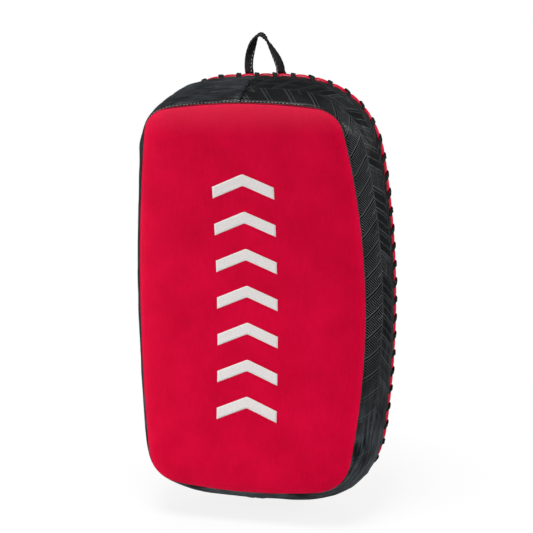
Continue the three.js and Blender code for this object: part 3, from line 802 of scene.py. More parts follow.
def gusset_relief(turn, out):
    """Moves the gusset's skin outwards: wrinkles, lacing dents, and the seams' valleys."""
    length = turn * RIM
    v = out + DEPTH
    signed = (np.mod(turn + 0.5, 1.0) - 0.5) * RIM
    side, bottom = np.abs(signed), np.abs(np.mod(turn, 1.0) - 0.5) * RIM
    soft = 0.55 * wave(length / 60, v / 26 + 4.0) * smooth(v, 4, 20)
    top_left = smooth(-signed, -30, 20) * smooth(signed, -190, -120)
    creases = wave(length / 38 + v / 55, v / 7.5 + 2.0, octaves=2)
    folds = 1.7 * top_left * creases * smooth(v, 10, 26) * smooth(v, 78, 60)
    rows = 0.35 * wave(length / 20, v / 9 + 9.0, octaves=2) * smooth(v, 8, 24)
    phase = length / PITCH - LACE_START
    from_hole = (phase - np.round(phase)) * PITCH - 2.4
    from_hole = np.where(from_hole < -PITCH / 2, from_hole + PITCH, from_hole)
    hole = -1.7 * np.exp(-(from_hole / 2.6) ** 2 - ((out - HOLE_OUT) / 2.6) ** 2)
    pull = -0.8 * bump_at(from_hole, 5.5) * smooth(v, 42, 66)
    stitch = np.cos(2 * math.pi * length / STITCH_LENGTH)
    groove = -(0.4 + 0.08 * stitch) * bump_at(v - GROOVE, 0.8)
    hump = 0.12 * bump_at(v - HUMP, 1.6)
    from_seam = np.minimum(side, bottom)
    seam = -1.1 * bump_at(from_seam, 1.3) + 0.5 * bump_at(from_seam - 4.5, 2.4)
    pucker = 0.28 * np.cos(2 * math.pi * v / 5.2) * bump_at(from_seam - 3.5, 4.0)
    ease = smooth(v, 1.5, 9)
    return soft + folds + rows + hole + pull + groove + hump + (seam + pucker) * ease


def gusset_half(name, side):
    run = np.linspace(0, 1, 430) / 2
    turn = run if side > 0 else 1 - run
    front, back = [], []
    for out in GUSSET_ROWS:
        x, s, nx, ns = around(out, run)
        relief = gusset_relief(turn, max(out, RELIEF_FRONT))
        grow = np.interp(out, FRONT_OUTS, FRONT_GROWS) + relief
        # The two halves meet just clear of each other at the middle.
        for rows, g in ((front, grow), (back, grow - SKIN)):
            rows.append(bend(side * np.maximum(x + g * nx, MEETING_GAP), out, s + g * ns))
    uv = np.stack(np.meshgrid(run * RIM, GUSSET_ROWS + DEPTH), -1)
    Build().sheet(np.array(front), np.array(back), uv).make(
        name + "_skin", GUSSET[name], "embossed_vinyl", [name])


def topstitching():
    for name, material, (start, end), out in (
        ("topstitch_pale", PALE_THREAD, (-0.088, 0.052), -76.6),
        ("topstitch_pale_second", PALE_THREAD, (-0.014, 0.004), -75.1),
        ("topstitch_dark", DARK_THREAD, (0.054, 0.91), -76.6),
    ):
        turn = np.linspace(start, end, 2400)
        x, s, nx, ns = around(out, turn)
        grow = 0.12 + gusset_relief(turn, out)
        points, ahead = (bend(x + g * nx, out, s + g * ns) for g in (grow, grow + 1))
        stitches(Build(), points, ahead - points, STITCH_LENGTH, 2.0, 0.5, 0.34).make(
            name, material, "lace")


# --- the back panel and its bead ---
# The bead's section, as outwards from the rim and out, and rings of the panel's rear face.
BEAD_SECTION = [
    [-3.2, -3], [-2.6, -4.9], [0.2, -6.2], [2.6, -5.5], [3.7, -3], [2.7, -0.6], [0.2, 0.45],
    [-2.2, 0.25], [-4.2, -0.5], [-6.5, -0.1], [-9.5, 0.25],
]
PANEL_FRONT, PANEL_RINGS = (0.03, 0.33, 0.66, 0.9), (
    0.9, 0.87, 0.83, 0.78, 0.7, 0.6, 0.48, 0.35, 0.2, 0.06)
PANEL_SEWN = 11.5  # from the rim in to the panel's row of thread


def pinch(turn):
    """1 under each stitch of the lace, 0 between them."""
    phase = np.mod(turn, 1.0) * RIM / PITCH - LACE_START
    return bump_at((phase - np.round(phase)) * PITCH, 3.2)


def back_panel():
    turn = np.arange(STITCHES * 12) / (STITCHES * 12)
    x, s, nx, ns = around(0.0, turn)
    pull, reach = pinch(turn), x * nx + s * ns
    loops = [bend(x * k, -3.0, s * k) for k in PANEL_FRONT]
    uvs = [np.stack([x * k, s * k], -1) for k in PANEL_FRONT]
    for grow, out in curve(BEAD_SECTION, 4):
        tight = 1.15 * pull * smooth(grow, -6, 3) * (1 if grow > -2 else 0.6)
        g = grow - tight * (grow > -3)
        o = out - 0.45 * pull * (1 if out > -2 else 0)
        loops.append(bend(x + g * nx, o, s + g * ns))
        uvs.append(np.stack([turn * RIM, np.full(len(turn), grow * 1.5)], -1))
    for k in PANEL_RINGS:
        out = 0.25 + 0.5 * wave(x * k / 60 + 7, s * k / 60) * np.clip((1 - k) * reach / 25, 0, 1)
        loops.append(bend(x * k, np.minimum(out, 0.38), s * k))
        uvs.append(np.stack([x * k, s * k], -1))
    Build().loops(loops, np.stack(uvs)).make(
        "back_panel_skin", RED_BEAD, "red_bead", ["back_panel"])


def rear_stitching():
    x, s, nx, ns = around(0.0, np.linspace(0, 1, 3000))
    line = raised(x - PANEL_SEWN * nx, 0.42, s - PANEL_SEWN * ns)
    stitches(Build(), *line, 3.6, 2.6, 0.8, 0.6).make("back_panel_stitching", RED_THREAD, "lace")


# --- the lace ---
# Once round the rim: outwards from it, out, and how far clockwise in mm and in pitches.
LACE_LOOP = [
    (4.0, -3.2, 0.0, 0), (3.35, -0.9, -0.8, 0), (1.6, 0.85, -1.5, 0), (-1.5, 1.2, -2.1, 0),
    (-5.0, 1.0, -2.6, 0), (-7.2, 0.0, -2.8, 0), (-7.8, -3.0, -2.0, 0.05), (-7.5, -8.0, 0.0, 0.3),
    (-5.2, -12.6, 0.5, 0.6), (-1.8, -14.4, 1.5, 0.85), (1.0, -14.2, 2.6, 1), (2.5, -12.6, 2.7, 1),
    (3.0, -10.4, 2.3, 1), (3.4, -7.8, 1.5, 1), (3.95, -5.5, 0.7, 1), (4.0, -3.2, 0.0, 1),
]
LACE_WIDE, LACE_NARROW, LACE_THICK = 2.15, 1.5, 0.66  # half sizes, narrow where it's pulled tight
LACE_CENTRE = (-1.5, -5.5)  # what it goes round, as outwards from the rim and out


def lacing():
    one = curve([(g, o, c + m * PITCH) for g, o, c, m in LACE_LOOP], 4)[:-1]
    which = np.repeat(np.arange(STITCHES), len(one))
    grow = np.tile(one[:, 0], STITCHES) + 0.12 * np.sin(which * 5.1)
    out = np.tile(one[:, 1], STITCHES)
    length = np.concatenate([one[:, 2] + (i + LACE_START) * PITCH for i in range(STITCHES)])
    length = length + 0.5 * np.sin(which * 2.4)
    x, s, nx, ns = around(0.0, length / RIM)
    points = bend(x + grow * nx, out, s + grow * ns)
    middle, depth = LACE_CENTRE
    centre = bend(x + middle * nx, depth, s + middle * ns)
    along = tangents(points, True)
    up = square(unit(points - centre), along)
    outside = (out > -4) | (np.tile(one[:, 0], STITCHES) > 2.2)
    width = np.where(outside, LACE_WIDE, LACE_NARROW)
    width = np.convolve(np.r_[width[-3:], width, width[:3]], np.ones(7) / 7, "valid")
    base = circle(1.0, 1.0, 12, 3.2)
    section = np.stack([base[:, 0] * width[:, None],
                        np.tile(base[:, 1] * LACE_THICK, (len(width), 1))], -1)
    loops = sweep(points, np.cross(along, up), up, section)
    uv = grid(run_along(points), np.r_[0, np.cumsum(np.full(11, 0.85))])
    Build().loops(loops, uv, joined=True).make("lacing_cord_flat", CORD, "lace", ["lacing_cord"])


# --- the hanging loop ---
# Its path as across, up and the strip's twist in degrees. Both legs start flat on the panel and
# turn their edges to the front at the top.
LOOP_PATH = [
    (-LOOP_LEG, -4.0, 0), (-LOOP_LEG, 0.6, 0), (-13.4, 7.5, 8), (-11.5, 14.5, 26),
    (-8.4, 22.3, 52), (-5.3, 27.6, 80), (-2.6, 29.8, 90), (0.2, 29.9, 90), (3.0, 27.2, 84),
    (5.9, 22.0, 60), (9.5, 14.5, 34), (12.6, 7, 10), (LOOP_LEG, 0.6, 0), (LOOP_LEG, -4.0, 0),
]
LOOP_SECTION = flat_section(7.6, 2.1, 7)
LOOP_FACE, LOOP_ROW = 1.08, 2.4  # from its middle to its face, and to its row of thread
END_OUT = LOOP_OUT + 0.55
BACKWARD = np.array([0, 1.0, 0])


def hanging_loop():
    place = group(LOOP_BASE)
    path = curve(LOOP_PATH, 6)
    n = len(path)
    points = np.stack([path[:, 0], np.zeros(n), path[:, 1]], -1)
    along = tangents(points)
    inward = np.stack([along[:, 2], np.zeros(n), -along[:, 0]], -1)
    wrinkle = 0.28 * np.sin(np.arange(n) * 1.9) * bump_at(path[:, 0], 9.0)
    centre = points + inward * wrinkle[:, None] + np.array([LOOP_MIDDLE, LOOP_OUT, 0])
    cos, sin = (f(np.radians(path[:, 2]))[:, None] for f in (np.cos, np.sin))
    flat, thin = inward * cos + BACKWARD * sin, -inward * sin + BACKWARD * cos
    root = (0, LOOP_OUT, -2.0), (0, LOOP_OUT, 10.0)
    obj = Build().loops(place(sweep(centre, flat, thin, LOOP_SECTION))).make(
        "hanging_loop_strip", VINYL, "black_vinyl", ["hanging_loop"], None)
    blended(obj, "hanging_loop", place, *root)
    threads = Build()
    for sign, reach in ((-1, 18.0), (1, 15.0)):
        pick = (path[:, 0] * sign > 8.5) & (path[:, 1] < reach)
        for face in (-1, 1):
            line = centre[pick] + flat[pick] * LOOP_ROW + thin[pick] * (face * LOOP_FACE)
            sew(threads, place, line, face * thin[pick], 3.2, 2.2)
    obj = threads.make("hanging_loop_stitching", PALE_THREAD, "lace", (), None)
    blended(obj, "hanging_loop", place, *root)


def hanging_loop_ends():
    """The loop's two ends, sewn flat on the panel with a box and one diagonal."""
    ends, boxes = Build(), Build()
    corners = [(-2.6, -31), (2.6, -31), (2.6, -18), (-2.6, -18), (-2.6, -31), (2.6, -18)]
    for sign, shift in LOOP_ENDS:
        top = LOOP_MIDDLE + sign * LOOP_LEG
        rows = curve([(top + shift, LOOP_BASE - 34), (top + shift, LOOP_BASE - 15),
                      (top, LOOP_BASE - 3), (top, LOOP_BASE - 1.6)], 8)
        ends.loops([bend(x + LOOP_SECTION[:, 0], END_OUT + LOOP_SECTION[:, 1], s)
                    for x, s in rows])
        for x, s in straight_runs(corners, 20):
            line = raised(top + shift + x, END_OUT + 1.12, LOOP_BASE + s)
            stitches(boxes, *line, 2.6, 1.9, 0.6, 0.4)
    ends.make("hanging_loop_sewn_ends", VINYL, "black_vinyl",
              ["hanging_loop_end_left", "hanging_loop_end_right"])
    boxes.make("hanging_loop_box_stitching", PALE_THREAD, "lace")


# --- the straps ---
# In a strap's own frame its arch is a circle round the forearm: polar gives points on it.
def polar(radius, degrees):
    a = np.radians(degrees)
    return np.stack([radius * np.cos(a), radius * np.sin(a)], -1)


OUTER_BAR, KEEPER_BAR = polar(ARCH, 24.0), polar(ARCH, 9.0)
WRAP = 3.4 + WEB_THICK / 2  # round the ring's wire, to the middle of the webbing
FOLD = ARCH + WRAP
LAYER_GAP, TAPE, TAPE_WIDTH = 0.6, 1.5, WEB_WIDTH - 4
TAPE_OUT = ARCH + WEB_THICK / 2 + LAYER_GAP + TAPE / 2
HOOK_OUT = TAPE_OUT + TAPE + LAYER_GAP
TAIL_OUT = HOOK_OUT + TAPE / 2 + LAYER_GAP + WEB_THICK / 2
# The free end's fold, as radius and degrees.
TAIL_FOLD = np.array([(FOLD, 25.9), (FOLD + 0.35, 29), (FOLD + 0.95, 34), (TAIL_OUT - 0.5, 39),
                      (TAIL_OUT, 44)])
RING_CORNER, RING_HALF, RING_WIRE = 5.0, 28.0, 1.8
FOOT_SEWN, KEEPER_SEWN = (-90.5, -80.5, 3.0), (86.0, 90.8, 5.7)  # from x to x, and how high
BOX_HALF = 22.0
EDGE_ROW = 21.2  # from the middle of the webbing to the thread along its edge


def arc(radius, start, end, count):
    return polar(radius, np.linspace(start, end, count))


def ribbon(path, width, thickness, place, wobble=0.0):
    """A strip with its path in the local (x, y) plane and its width along z."""
    points = np.concatenate([path, np.zeros((len(path), 1))], 1)
    along = tangents(points)
    normal = np.stack([-along[:, 1], along[:, 0], 0 * along[:, 0]], -1)
    side = np.tile([0, 0, 1.0], (len(path), 1))
    section = flat_section(width, thickness, 13)
    loops = sweep(points, side, normal, section)
    if wobble:
        ripple = wobble * wave(np.arange(len(path))[:, None] / 9.0, section[None, :, 0] / 17.0)
        loops = loops + ripple[..., None] * normal[:, None]
    return Build().loops(place(loops), grid(run_along(path), section[:, 0]))


def box_stitch(b, place, x0, x1, y):
    """A box of thread with both diagonals."""
    z = BOX_HALF
    corners = [(x0, -z), (x1, -z), (x1, z), (x0, z), (x0, -z), (x1, z), (x1, -z), (x0, z)]
    for x, z in straight_runs(corners, 30):
        sew(b, place, np.stack([x, np.full(30, y), z], -1), BACKWARD, 3.2, 2.4)


def strap_path():
    """From the sewn foot, up over the forearm, through the ring and back round its outer bar."""
    foot = np.array([(-92.0, 1.65 - RAISE), (-84.0, 1.65 - RAISE), (-78.6, 2.0 - RAISE)])
    over = arc(ARCH, 177, 38, 70)
    dip = np.stack([polar(ARCH - 1.4, 34), polar(ARCH - 3.6, 30)])
    wrap = OUTER_BAR + arc(WRAP, 204, 384, 26)
    return np.concatenate([
        curve(np.concatenate([foot, over[:1] + [[-0.4, 0.5]], over[3:4]]), 6)[:-1], over[3:],
        curve(np.concatenate([over[-1:], dip, wrap[:1]]), 5)[1:-1], wrap, [polar(FOLD, 25.6)],
    ])


def keeper_path():
    """Doubled webbing from the panel, round the ring's inner bar and back."""
    doubled = KEEPER_BAR + arc(WRAP, 180, 0, 22)
    low, (bar, _) = 10.0 - RAISE, KEEPER_BAR
    inner = [(92, 1.65 - RAISE), (84, 1.7 - RAISE), (78.0, 3.4 - RAISE), (bar - WRAP, low - 5.5),
             (bar - WRAP, low)]
    outer = [(bar + WRAP, low), (bar + WRAP + 0.6, low - 2.5), (84.5, 4.6 - RAISE),
             (92, 4.3 - RAISE)]
    inside = curve(np.concatenate([inner, doubled[:1]]), 6)
    outside = curve(np.concatenate([doubled[-1:], outer]), 6)
    return np.concatenate([inside[:-1], doubled, outside[1:]])


def strap(name, s):
    arch, panel = group(s, RAISE), group(s)
    for label, path, thickness, wobble, over, foot, top in (
        ("strap", strap_path(), WEB_THICK, 0.12, "band", -80, 22.0),
        ("keeper", keeper_path(), WEB_THICK - 0.1, 0.05, "loop", 80, 16.0),
    ):
        cad = f"{name}_{label}_"
        obj = ribbon(path, WEB_WIDTH, thickness, arch, wobble).make(
            cad + "webbing", WEBBING, "webbing", [cad + "foot", cad + over], None)
        blended(obj, name + "_strap", panel, (foot, 3.0, 0), (foot, top, 0))
    # The free end, folded back over the outer bar onto the tape.
    tail = np.concatenate([curve(polar(*TAIL_FOLD.T), 6)[:-1], arc(TAIL_OUT, 44, 90, 32)])
    ribbon(tail, WEB_WIDTH, WEB_THICK, arch, 0.1).make(
        name + "_tail_webbing", WEBBING, "webbing", [name + "_strap_tail"], name + "_tail")
    ribbon(arc(TAPE_OUT, 45, 120, 40), TAPE_WIDTH, 1.6, arch, 0.05).make(
        name + "_loop_tape_pile", LOOP_TAPE, "loop_tape", [name + "_loop_tape"], name + "_strap")
    ribbon(arc(HOOK_OUT, 50, 86, 26), TAPE_WIDTH, TAPE, arch).make(
        name + "_hook_tape_pile", HOOK_TAPE, "hook_tape", [name + "_hook_tape"], name + "_tail")
    ring(name, arch)
    b = Build()
    box_stitch(b, panel, *FOOT_SEWN)
    box_stitch(b, panel, *KEEPER_SEWN)
    b.make(name + "_foot_stitching", PALE_THREAD, "lace")
    tape_stitching(name + "_tape_stitching", DARK_THREAD, arch, TAPE_OUT + 0.82, (46, 119),
                   name + "_strap")
    tape_stitching(name + "_tail_stitching", PALE_THREAD, arch, TAIL_OUT + WEB_THICK / 2,
                   (45, 88.5), name + "_tail")


def ring(name, arch):
    """A rounded rectangle of wire between the two bars."""
    reach = float(np.linalg.norm(OUTER_BAR - KEEPER_BAR))
    lean = math.atan2(*(OUTER_BAR - KEEPER_BAR)[::-1])
    near, far, half = RING_CORNER, reach - RING_CORNER, RING_HALF - RING_CORNER
    path = np.concatenate([
        arc(RING_CORNER, a, a + 90, 9) + [x, z]
        for x, z, a in ((far, half, 0), (near, half, 90), (near, -half, 180), (far, -half, 270))])
    points = np.stack([KEEPER_BAR[0] + path[:, 0] * math.cos(lean),
                       KEEPER_BAR[1] + path[:, 0] * math.sin(lean), path[:, 1]], -1)
    up = np.tile([-math.sin(lean), math.cos(lean), 0], (len(points), 1))
    side = np.cross(tangents(points, True), up)
    loops = sweep(points, side, up, circle(RING_WIRE, RING_WIRE, 14))
    Build().loops(arch(loops), joined=True).make(
        name + "_ring_wire", STEEL, "steel", [name + "_strap_ring"], name + "_ring")


def tape_stitching(label, thread, arch, radius, span, body):
    """Thread round the edge of a tape on the arch."""
    b = Build()
    for z in (-EDGE_ROW, EDGE_ROW):
        line = np.concatenate([arc(radius, *span, 60), np.full((60, 1), z)], 1)
        up = np.concatenate([arc(1.0, *span, 60), np.zeros((60, 1))], 1)
        sew(b, arch, line, up, 3.4, 2.5)
    for angle in span:
        z = np.linspace(-EDGE_ROW, EDGE_ROW, 40)
        line = np.concatenate([np.tile(polar(radius, angle), (40, 1)), z[:, None]], 1)
        sew(b, arch, line, np.r_[polar(1.0, angle), 0], 3.4, 2.5)
    b.make(label, thread, "lace", (), body)


# --- the grip ---
GRIP_HALF = [(60.5, 3.2), (57.5, 9.0), (56, 15), (55, 28), (46, 42), (24, 46)]
GRIP_RADIUS, NECK_THIN, NECK_WIDE = 13.4, 5.2, 15.5
TAB_MIDDLE, TAB_HALF_X, TAB_HALF_Z, RIVET_X, RIVET_Z = 66, 20, 17, 76, 10
# The tab's and the rivet's profiles: how far out from the middle, and height.
TAB_PROFILE = [(0.05, 3.3), (0.4, 3.35), (0.75, 3.3), (0.84, 3.0), (0.88, 2.85), (0.92, 3.05),
               (0.97, 3.0), (1.0, 2.4), (1.0, 0.9), (0.98, 0.45), (0.5, 0.42), (0.05, 0.42)]
RIVET_PROFILE = [(0.05, 6.1), (1.6, 6.0), (3.4, 5.5), (4.7, 4.5), (5.0, 3.75), (4.6, 3.45),
                 (2.0, 3.3), (1.98, 2.0), (1.98, -4.1), (4.3, -4.2), (4.3, -4.9), (0.05, -5.1)]


def grip():
    place = group(GRIP_AT)
    path = curve(GRIP_HALF + [(-x, y) for x, y in GRIP_HALF[::-1]], 12)
    n = len(path)
    points = np.concatenate([path, np.zeros((n, 1))], 1)
    along = tangents(points)
    normal = np.stack([along[:, 1], -along[:, 0], 0 * along[:, 0]], -1)
    side = np.tile([0, 0, 1.0], (n, 1))
    # The sleeve is padded along the top, wrinkled in its bends and flat where the tabs hold it.
    neck = smooth(path[:, 1:], 22, 3.5)
    t, run = angles(40), run_along(points)
    along_run, near_bend = run[:, None], bump_at(np.abs(path[:, :1]) - 52, 9.0)
    wrinkle = 0.5 * near_bend * np.sin(along_run * 0.85) * smooth(-np.sin(t), -0.2, 0.9)
    puff, seam = 0.4 * np.sin(along_run * 0.21), -0.7 * bump_at(t - 1.5 * math.pi, 0.11)
    bulge = wrinkle + (puff + seam) * (1 - neck)
    thin, wide = (GRIP_RADIUS * (1 - neck) + r * neck + bulge for r in (NECK_THIN, NECK_WIDE))
    section = np.stack([wide * np.cos(t), thin * np.sin(t)], -1)
    loops = place(sweep(points, side, normal, section))
    obj = Build().loops(loops, grid(run, t * GRIP_RADIUS)).make(
        "grip_sleeve", PADDED, "black_vinyl", ["grip_cover"], None)
    blended(obj, "grip", place, (0, 4.0, 0), (0, 18.0, 0))
    b = Build()
    pick = path[:, 1] > 20
    for angle in (1.5 * math.pi - 0.2, 1.5 * math.pi + 0.2):
        offset = (13.1 * (math.cos(angle) * side + math.sin(angle) * normal))[pick]
        sew(b, place, points[pick] + offset, offset, 3.6, 2.6)
    b.make("grip_seam_stitching", DARK_THREAD, "lace", (), "grip")
    for label, sign in (("left", -1), ("right", 1)):
        tab(place, label, sign)


def tab_ring(sign, scale, height, count=96):
    x, z = rounded(angles(count), TAB_HALF_X * scale, TAB_HALF_Z * scale, 7.0)
    return np.stack([sign * TAB_MIDDLE + x, np.full(count, height), z], -1)


def tab(place, label, sign):
    """A sewn and riveted tab: a soft-edged patch with a raised edge."""
    loops = np.array([tab_ring(sign, k, y) for k, y in TAB_PROFILE])
    Build().loops(place(loops), loops[..., [0, 2]]).make(
        "grip_tab_patch_" + label, VINYL, "black_vinyl", ["grip_tab_" + label])
    line = tab_ring(sign, 0.88, 3.0)
    sew(Build(), place, np.concatenate([line, line[:1]]), BACKWARD, 3.2, 2.4, 0.75).make(
        "grip_tab_stitching_" + label, PALE_THREAD, "lace")
    t = angles(28)
    for z, end in ((-RIVET_Z, "lower"), (RIVET_Z, "upper")):
        rings = np.stack([
            np.stack([sign * RIVET_X + r * np.cos(t), np.full(28, y), z + r * np.sin(t)], -1)
            for r, y in curve(RIVET_PROFILE, 3)])
        Build().loops(place(rings)).make(
            f"rivet_{label}_{end}", STEEL, "steel", [f"grip_rivet_{label}_{end}"])


# --- the forearm cushion ---
# How far in from its widest, and how far out: the section of the cushion before it is filled.
CUSHION_SECTION = (
    (0.04, 0.8), (0.5, 0.8), (1.0, 0.8), (1.015, 2.4), (1.0, 5.5), (0.955, 9.5), (0.88, 11.6),
    (0.7, 12.3), (0.4, 12.4), (0.04, 12.4))
VOXEL, CLOTH_FRAMES, SWELL_CAP = 0.004, 20, 0.005  # in metres, frames and metres
CUSHION_PEAK, FILLING_FLOOR = 17.5, 1.6


def cushion_shape():
    """The cushion before it is filled: rounded in plan, with a flat underside."""
    loops = []
    for k, out in CUSHION_SECTION:
        x, s = rounded(angles(120), CUSHION_HALF * k,
                       CUSHION_LENGTH - CUSHION_HALF * (1 - k), CUSHION_CORNER)
        loops.append(bend(x, out, CUSHION_MIDDLE + s))
    return Build().loops(loops).make(
        "forearm_cushion_padded", PADDED, "black_vinyl", ["forearm_cushion_cover"], None)


def flat_coordinates(points):
    """The (x, out, s) of bent points."""
    radius = np.hypot(points[:, 1] + BEND - SHIFT, points[:, 2])
    return points[:, 0], radius - BEND, np.arctan2(points[:, 2], points[:, 1] + BEND - SHIFT) * BEND


def read_points(mesh):
    co = np.zeros(len(mesh.vertices) * 3, np.float32)
    mesh.vertices.foreach_get("co", co)
    return co.reshape(-1, 3).astype(float)


def write_points(mesh, points):
    mesh.vertices.foreach_set("co", (points * MM).astype(np.float32).ravel())
    mesh.update()


def evaluated(obj):
    graph = bpy.context.evaluated_depsgraph_get()
    graph.update()
    return bpy.data.meshes.new_from_object(obj.evaluated_get(graph))


def swap_mesh(obj, mesh):
    obj.modifiers.clear()
    obj.data = mesh


def swell(obj, pinned):
    """The mesh's points after its cloth has been filled with air, with pinned points held."""
    pins = obj.vertex_groups.new(name="pins")
    for i in np.nonzero(pinned)[0].tolist():
        pins.add([i], 1.0, "REPLACE")
    cloth = obj.modifiers.new("Cloth", "CLOTH")
    settings = cloth.settings
    settings.use_pressure = True
    settings.uniform_pressure_force = 4.0
    settings.vertex_group_mass = "pins"
    settings.effector_weights.gravity = 0.0
    settings.quality = 5
    cloth.point_cache.frame_start, cloth.point_cache.frame_end = 1, CLOTH_FRAMES
    for f in range(1, CLOTH_FRAMES + 1):
        bpy.context.scene.frame_set(f)
    moved = read_points(evaluated(obj))
    obj.modifiers.clear()
    bpy.context.scene.frame_set(1)
    return moved


def forearm_cushion():
    obj = cushion_shape()
    remesh = obj.modifiers.new("Remesh", "REMESH")
    remesh.mode, remesh.voxel_size = "VOXEL", VOXEL
    swap_mesh(obj, evaluated(obj))
    rest = read_points(obj.data)
    x, out, s = flat_coordinates(rest / MM)
    channel = np.min([np.abs(s - c) for c in CHANNELS], axis=0)
    puffed = 2.4  # how far the top would stand up without the simulation
    puffed = 0.72
    step = swell(obj, (out < 1.6) | ((channel < 2.6) & (out > 6))) - rest
    size = np.linalg.norm(step, axis=1, keepdims=True)
    rest = rest + step * np.minimum(1.0, SWELL_CAP / np.maximum(size, 1e-9))
    x, out, s = flat_coordinates(rest / MM)
    # The sewn channels, a rolled edge seam and soft creases that run to the seams.
    top = smooth(out, 4, 9)
    edge = np.minimum(CUSHION_HALF - np.abs(x), np.minimum(CUSHION_HIGH - s, s - CUSHION_LOW))
    dip = -4.6 * bump_at(channel, 3.4) * np.clip((edge - 2) / 12, 0, 1)
    crease = 0.5 * wave(x / 7.0, s / 40.0, octaves=2) * bump_at(channel, 16)
    soft = 0.5 * wave(x / 30, s / 30 + 5)
    puff = puffed * smooth(edge, 4, 26) * smooth(channel, 2, 18)
    out = np.minimum(out + top * (dip + crease + soft + puff), CUSHION_PEAK)
    write_points(obj.data, bend(x, out, s))
    divide = obj.modifiers.new("Subdivision", "SUBSURF")
    divide.levels = divide.render_levels = 1
    swap_mesh(obj, evaluated(obj))
    shade_smooth(obj.data)
    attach(obj, "pad")
    cushion_filling(obj)
    cushion_trim(obj)


def cushion_filling(cover):
    """The foam inside the cushion, which follows its cover's dents a little way down."""
    mesh = cover.data.copy()
    x, out, s = flat_coordinates(read_points(mesh) / MM)
    lower = FILLING_FLOOR + np.maximum(out - FILLING_FLOOR, 0) * 0.72
    write_points(mesh, bend(x * 0.94, lower, (s - CUSHION_MIDDLE) * 0.965 + CUSHION_MIDDLE))
    piece("forearm_cushion_filling", mesh, CREAM_FOAM, ["forearm_cushion_foam"])


def cushion_trim(cover):
    """Piping where the cushion meets the panel, and the thread of its channels."""
    x, s = rounded(angles(240), CUSHION_HALF + 0.5, CUSHION_LENGTH + 0.5, CUSHION_CORNER)
    points, up = raised(x, 1.9, CUSHION_MIDDLE + s)
    side = np.cross(tangents(points, True), up)
    loops = sweep(points, side, up, circle(1.7, 1.7, 12))
    Build().loops(loops, joined=True).make("forearm_cushion_piping", VINYL, "black_vinyl")
    tree = BVHTree.FromPolygons([v.co for v in cover.data.vertices],
                                [p.vertices[:] for p in cover.data.polygons])
    b = Build()
    for c in CHANNELS:
        x = np.linspace(-55, 55, 120)
        line, ups = drop_on(tree, bend(x, 30.0, c), bend(x, 29.0, c))
        stitches(b, line, ups, 4.0, 3.0, 0.85, 0.6)
    b.make("forearm_cushion_stitching", DARK_THREAD, "lace")


def drop_on(tree, points, towards, lift=0.1):
    """Points dropped onto a surface, with the directions they came from."""
    kept, ups = [], []
    for p, q in zip(points, towards):
        ray = Vector(q - p).normalized()
        hit = tree.ray_cast(Vector(p * MM), ray)[0]
        if hit is not None:
            kept.append(np.array(hit) / MM - lift * np.array(ray))
            ups.append(-np.array(ray))
    return np.array(kept), np.array(ups)


# --- assembly ---
strike_face()
chevron_prints()
gusset_half("gusset_right", 1)
gusset_half("gusset_left", -1)
topstitching()
back_panel()
rear_stitching()
lacing()
hanging_loop()
hanging_loop_ends()
grip()
for strap_name, strap_s in STRAPS.items():
    strap(strap_name, strap_s)
forearm_cushion()

for node, foam in (
    ("strike_foam", GREY_FOAM), ("core_foam", GREY_FOAM), ("comfort_foam", CREAM_FOAM),
    ("grip_core", GREY_FOAM),
):
    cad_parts[node].data.materials.clear()
    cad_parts[node].data.materials.append(foam)


# --- the stage ---
# Name, place, size and watts of each square light, and which rays see it.
LIGHTS = (
    ("key", (-1.27, -0.64, 0.12), 0.6, 10.6, "both"),
    ("fill", (2.1, 0.1, 0.5), 1.2, 28.0, "diffuse"),
    ("front", (0.2, -2.6, 0.3), 1.2, 3.0, "both"),
    ("top", (-0.1, -0.7, 2.1), 1.0, 38.0, "both"),
    ("rear", (-0.8, 2.2, 1.0), 1.6, 30.0, "diffuse"),
    ("glint", (1.31, 0.66, 0.52), 0.06, 2.4, "glossy"),
)
LIGHT_TARGET = Vector((0.0, -0.03, 0.0))
SKY, SKY_IN_GLOSS = 0.16, 0.055  # the camera itself sees white
FLOOR_RADIUS, FLOOR_GAP = 30.0, 0.002
LENS, SENSOR, LENS_SHIFT, ROLL = 87.9, 36.0, (-0.0137, 0.0263), -0.78
CAMERA_AWAY, CAMERA_DIRECTION = 1.2, (0.26136, -0.94886, 0.17708)


def floor():
    mesh = bpy.data.meshes.new("floor")
    x, y = (FLOOR_RADIUS * f(angles(96)) for f in (np.cos, np.sin))
    mesh.from_pydata([(a, b, cad_box[0].z - FLOOR_GAP) for a, b in zip(x.tolist(), y.tolist())],
                     [], [list(range(96))])
    mesh.materials.append(floor_material())
    obj = bpy.data.objects.new("floor", mesh)
    bpy.context.scene.collection.objects.link(obj)
    obj.visible_glossy = False


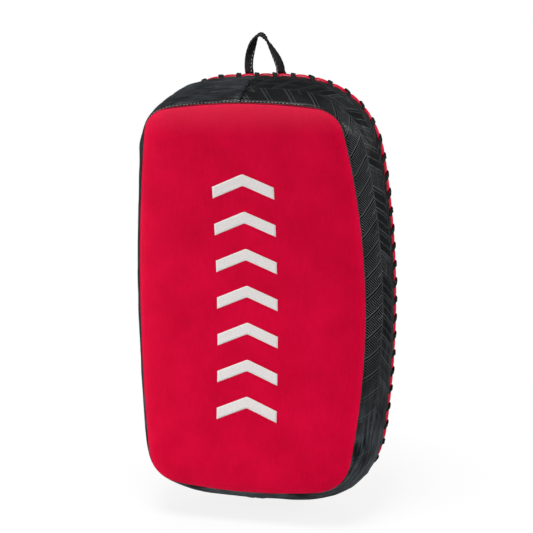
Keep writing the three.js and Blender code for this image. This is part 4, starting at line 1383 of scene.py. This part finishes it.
def studio():
    world = bpy.data.worlds.new("studio")
    bpy.context.scene.world = world
    world.use_nodes = True
    tree = world.node_tree
    tree.nodes.clear()
    output, sky, path, mixer, seen = (tree.nodes.new("ShaderNode" + kind) for kind in (
        "OutputWorld", "Background", "LightPath", "MapRange", "Math"))
    sky.inputs["Color"].default_value = (1, 1, 1, 1)
    mixer.inputs["To Min"].default_value, mixer.inputs["To Max"].default_value = SKY, SKY_IN_GLOSS
    seen.operation = "MAXIMUM"
    for source, target in (
        (path.outputs["Is Glossy Ray"], mixer.inputs["Value"]),
        (mixer.outputs[0], seen.inputs[0]), (path.outputs["Is Camera Ray"], seen.inputs[1]),
        (seen.outputs[0], sky.inputs["Strength"]), (sky.outputs[0], output.inputs["Surface"]),
    ):
        tree.links.new(source, target)
    bpy.context.scene.view_settings.view_transform = "Standard"
    for name, spot, size, power, rays in LIGHTS:
        data = bpy.data.lights.new(name, "AREA")
        data.shape, data.size, data.energy = "SQUARE", size, power
        light = bpy.data.objects.new(name, data)
        bpy.context.scene.collection.objects.link(light)
        light.location = spot
        light.visible_glossy, light.visible_diffuse = rays != "diffuse", rays != "glossy"
        light.rotation_mode = "QUATERNION"
        light.rotation_quaternion = (LIGHT_TARGET - Vector(spot)).to_track_quat("-Z", "Y")


def camera():
    data = bpy.data.cameras.new("camera")
    data.sensor_width, data.lens = SENSOR, LENS
    data.shift_x, data.shift_y = LENS_SHIFT
    data.clip_start, data.clip_end = 0.05, 100.0
    obj = bpy.data.objects.new("camera", data)
    bpy.context.scene.collection.objects.link(obj)
    back = Vector(CAMERA_DIRECTION).normalized()
    level = Vector((0, 0, 1)).cross(back).normalized()
    upright = back.cross(level)
    roll = math.radians(ROLL)
    right = level * math.cos(roll) + upright * math.sin(roll)
    up = upright * math.cos(roll) - level * math.sin(roll)
    place = Matrix((right, up, back)).transposed().to_4x4()
    place.translation = Vector((0, SHIFT * MM, 0)) + back * CAMERA_AWAY
    obj.matrix_world = place
    bpy.context.scene.camera = obj


floor()
studio()
camera()
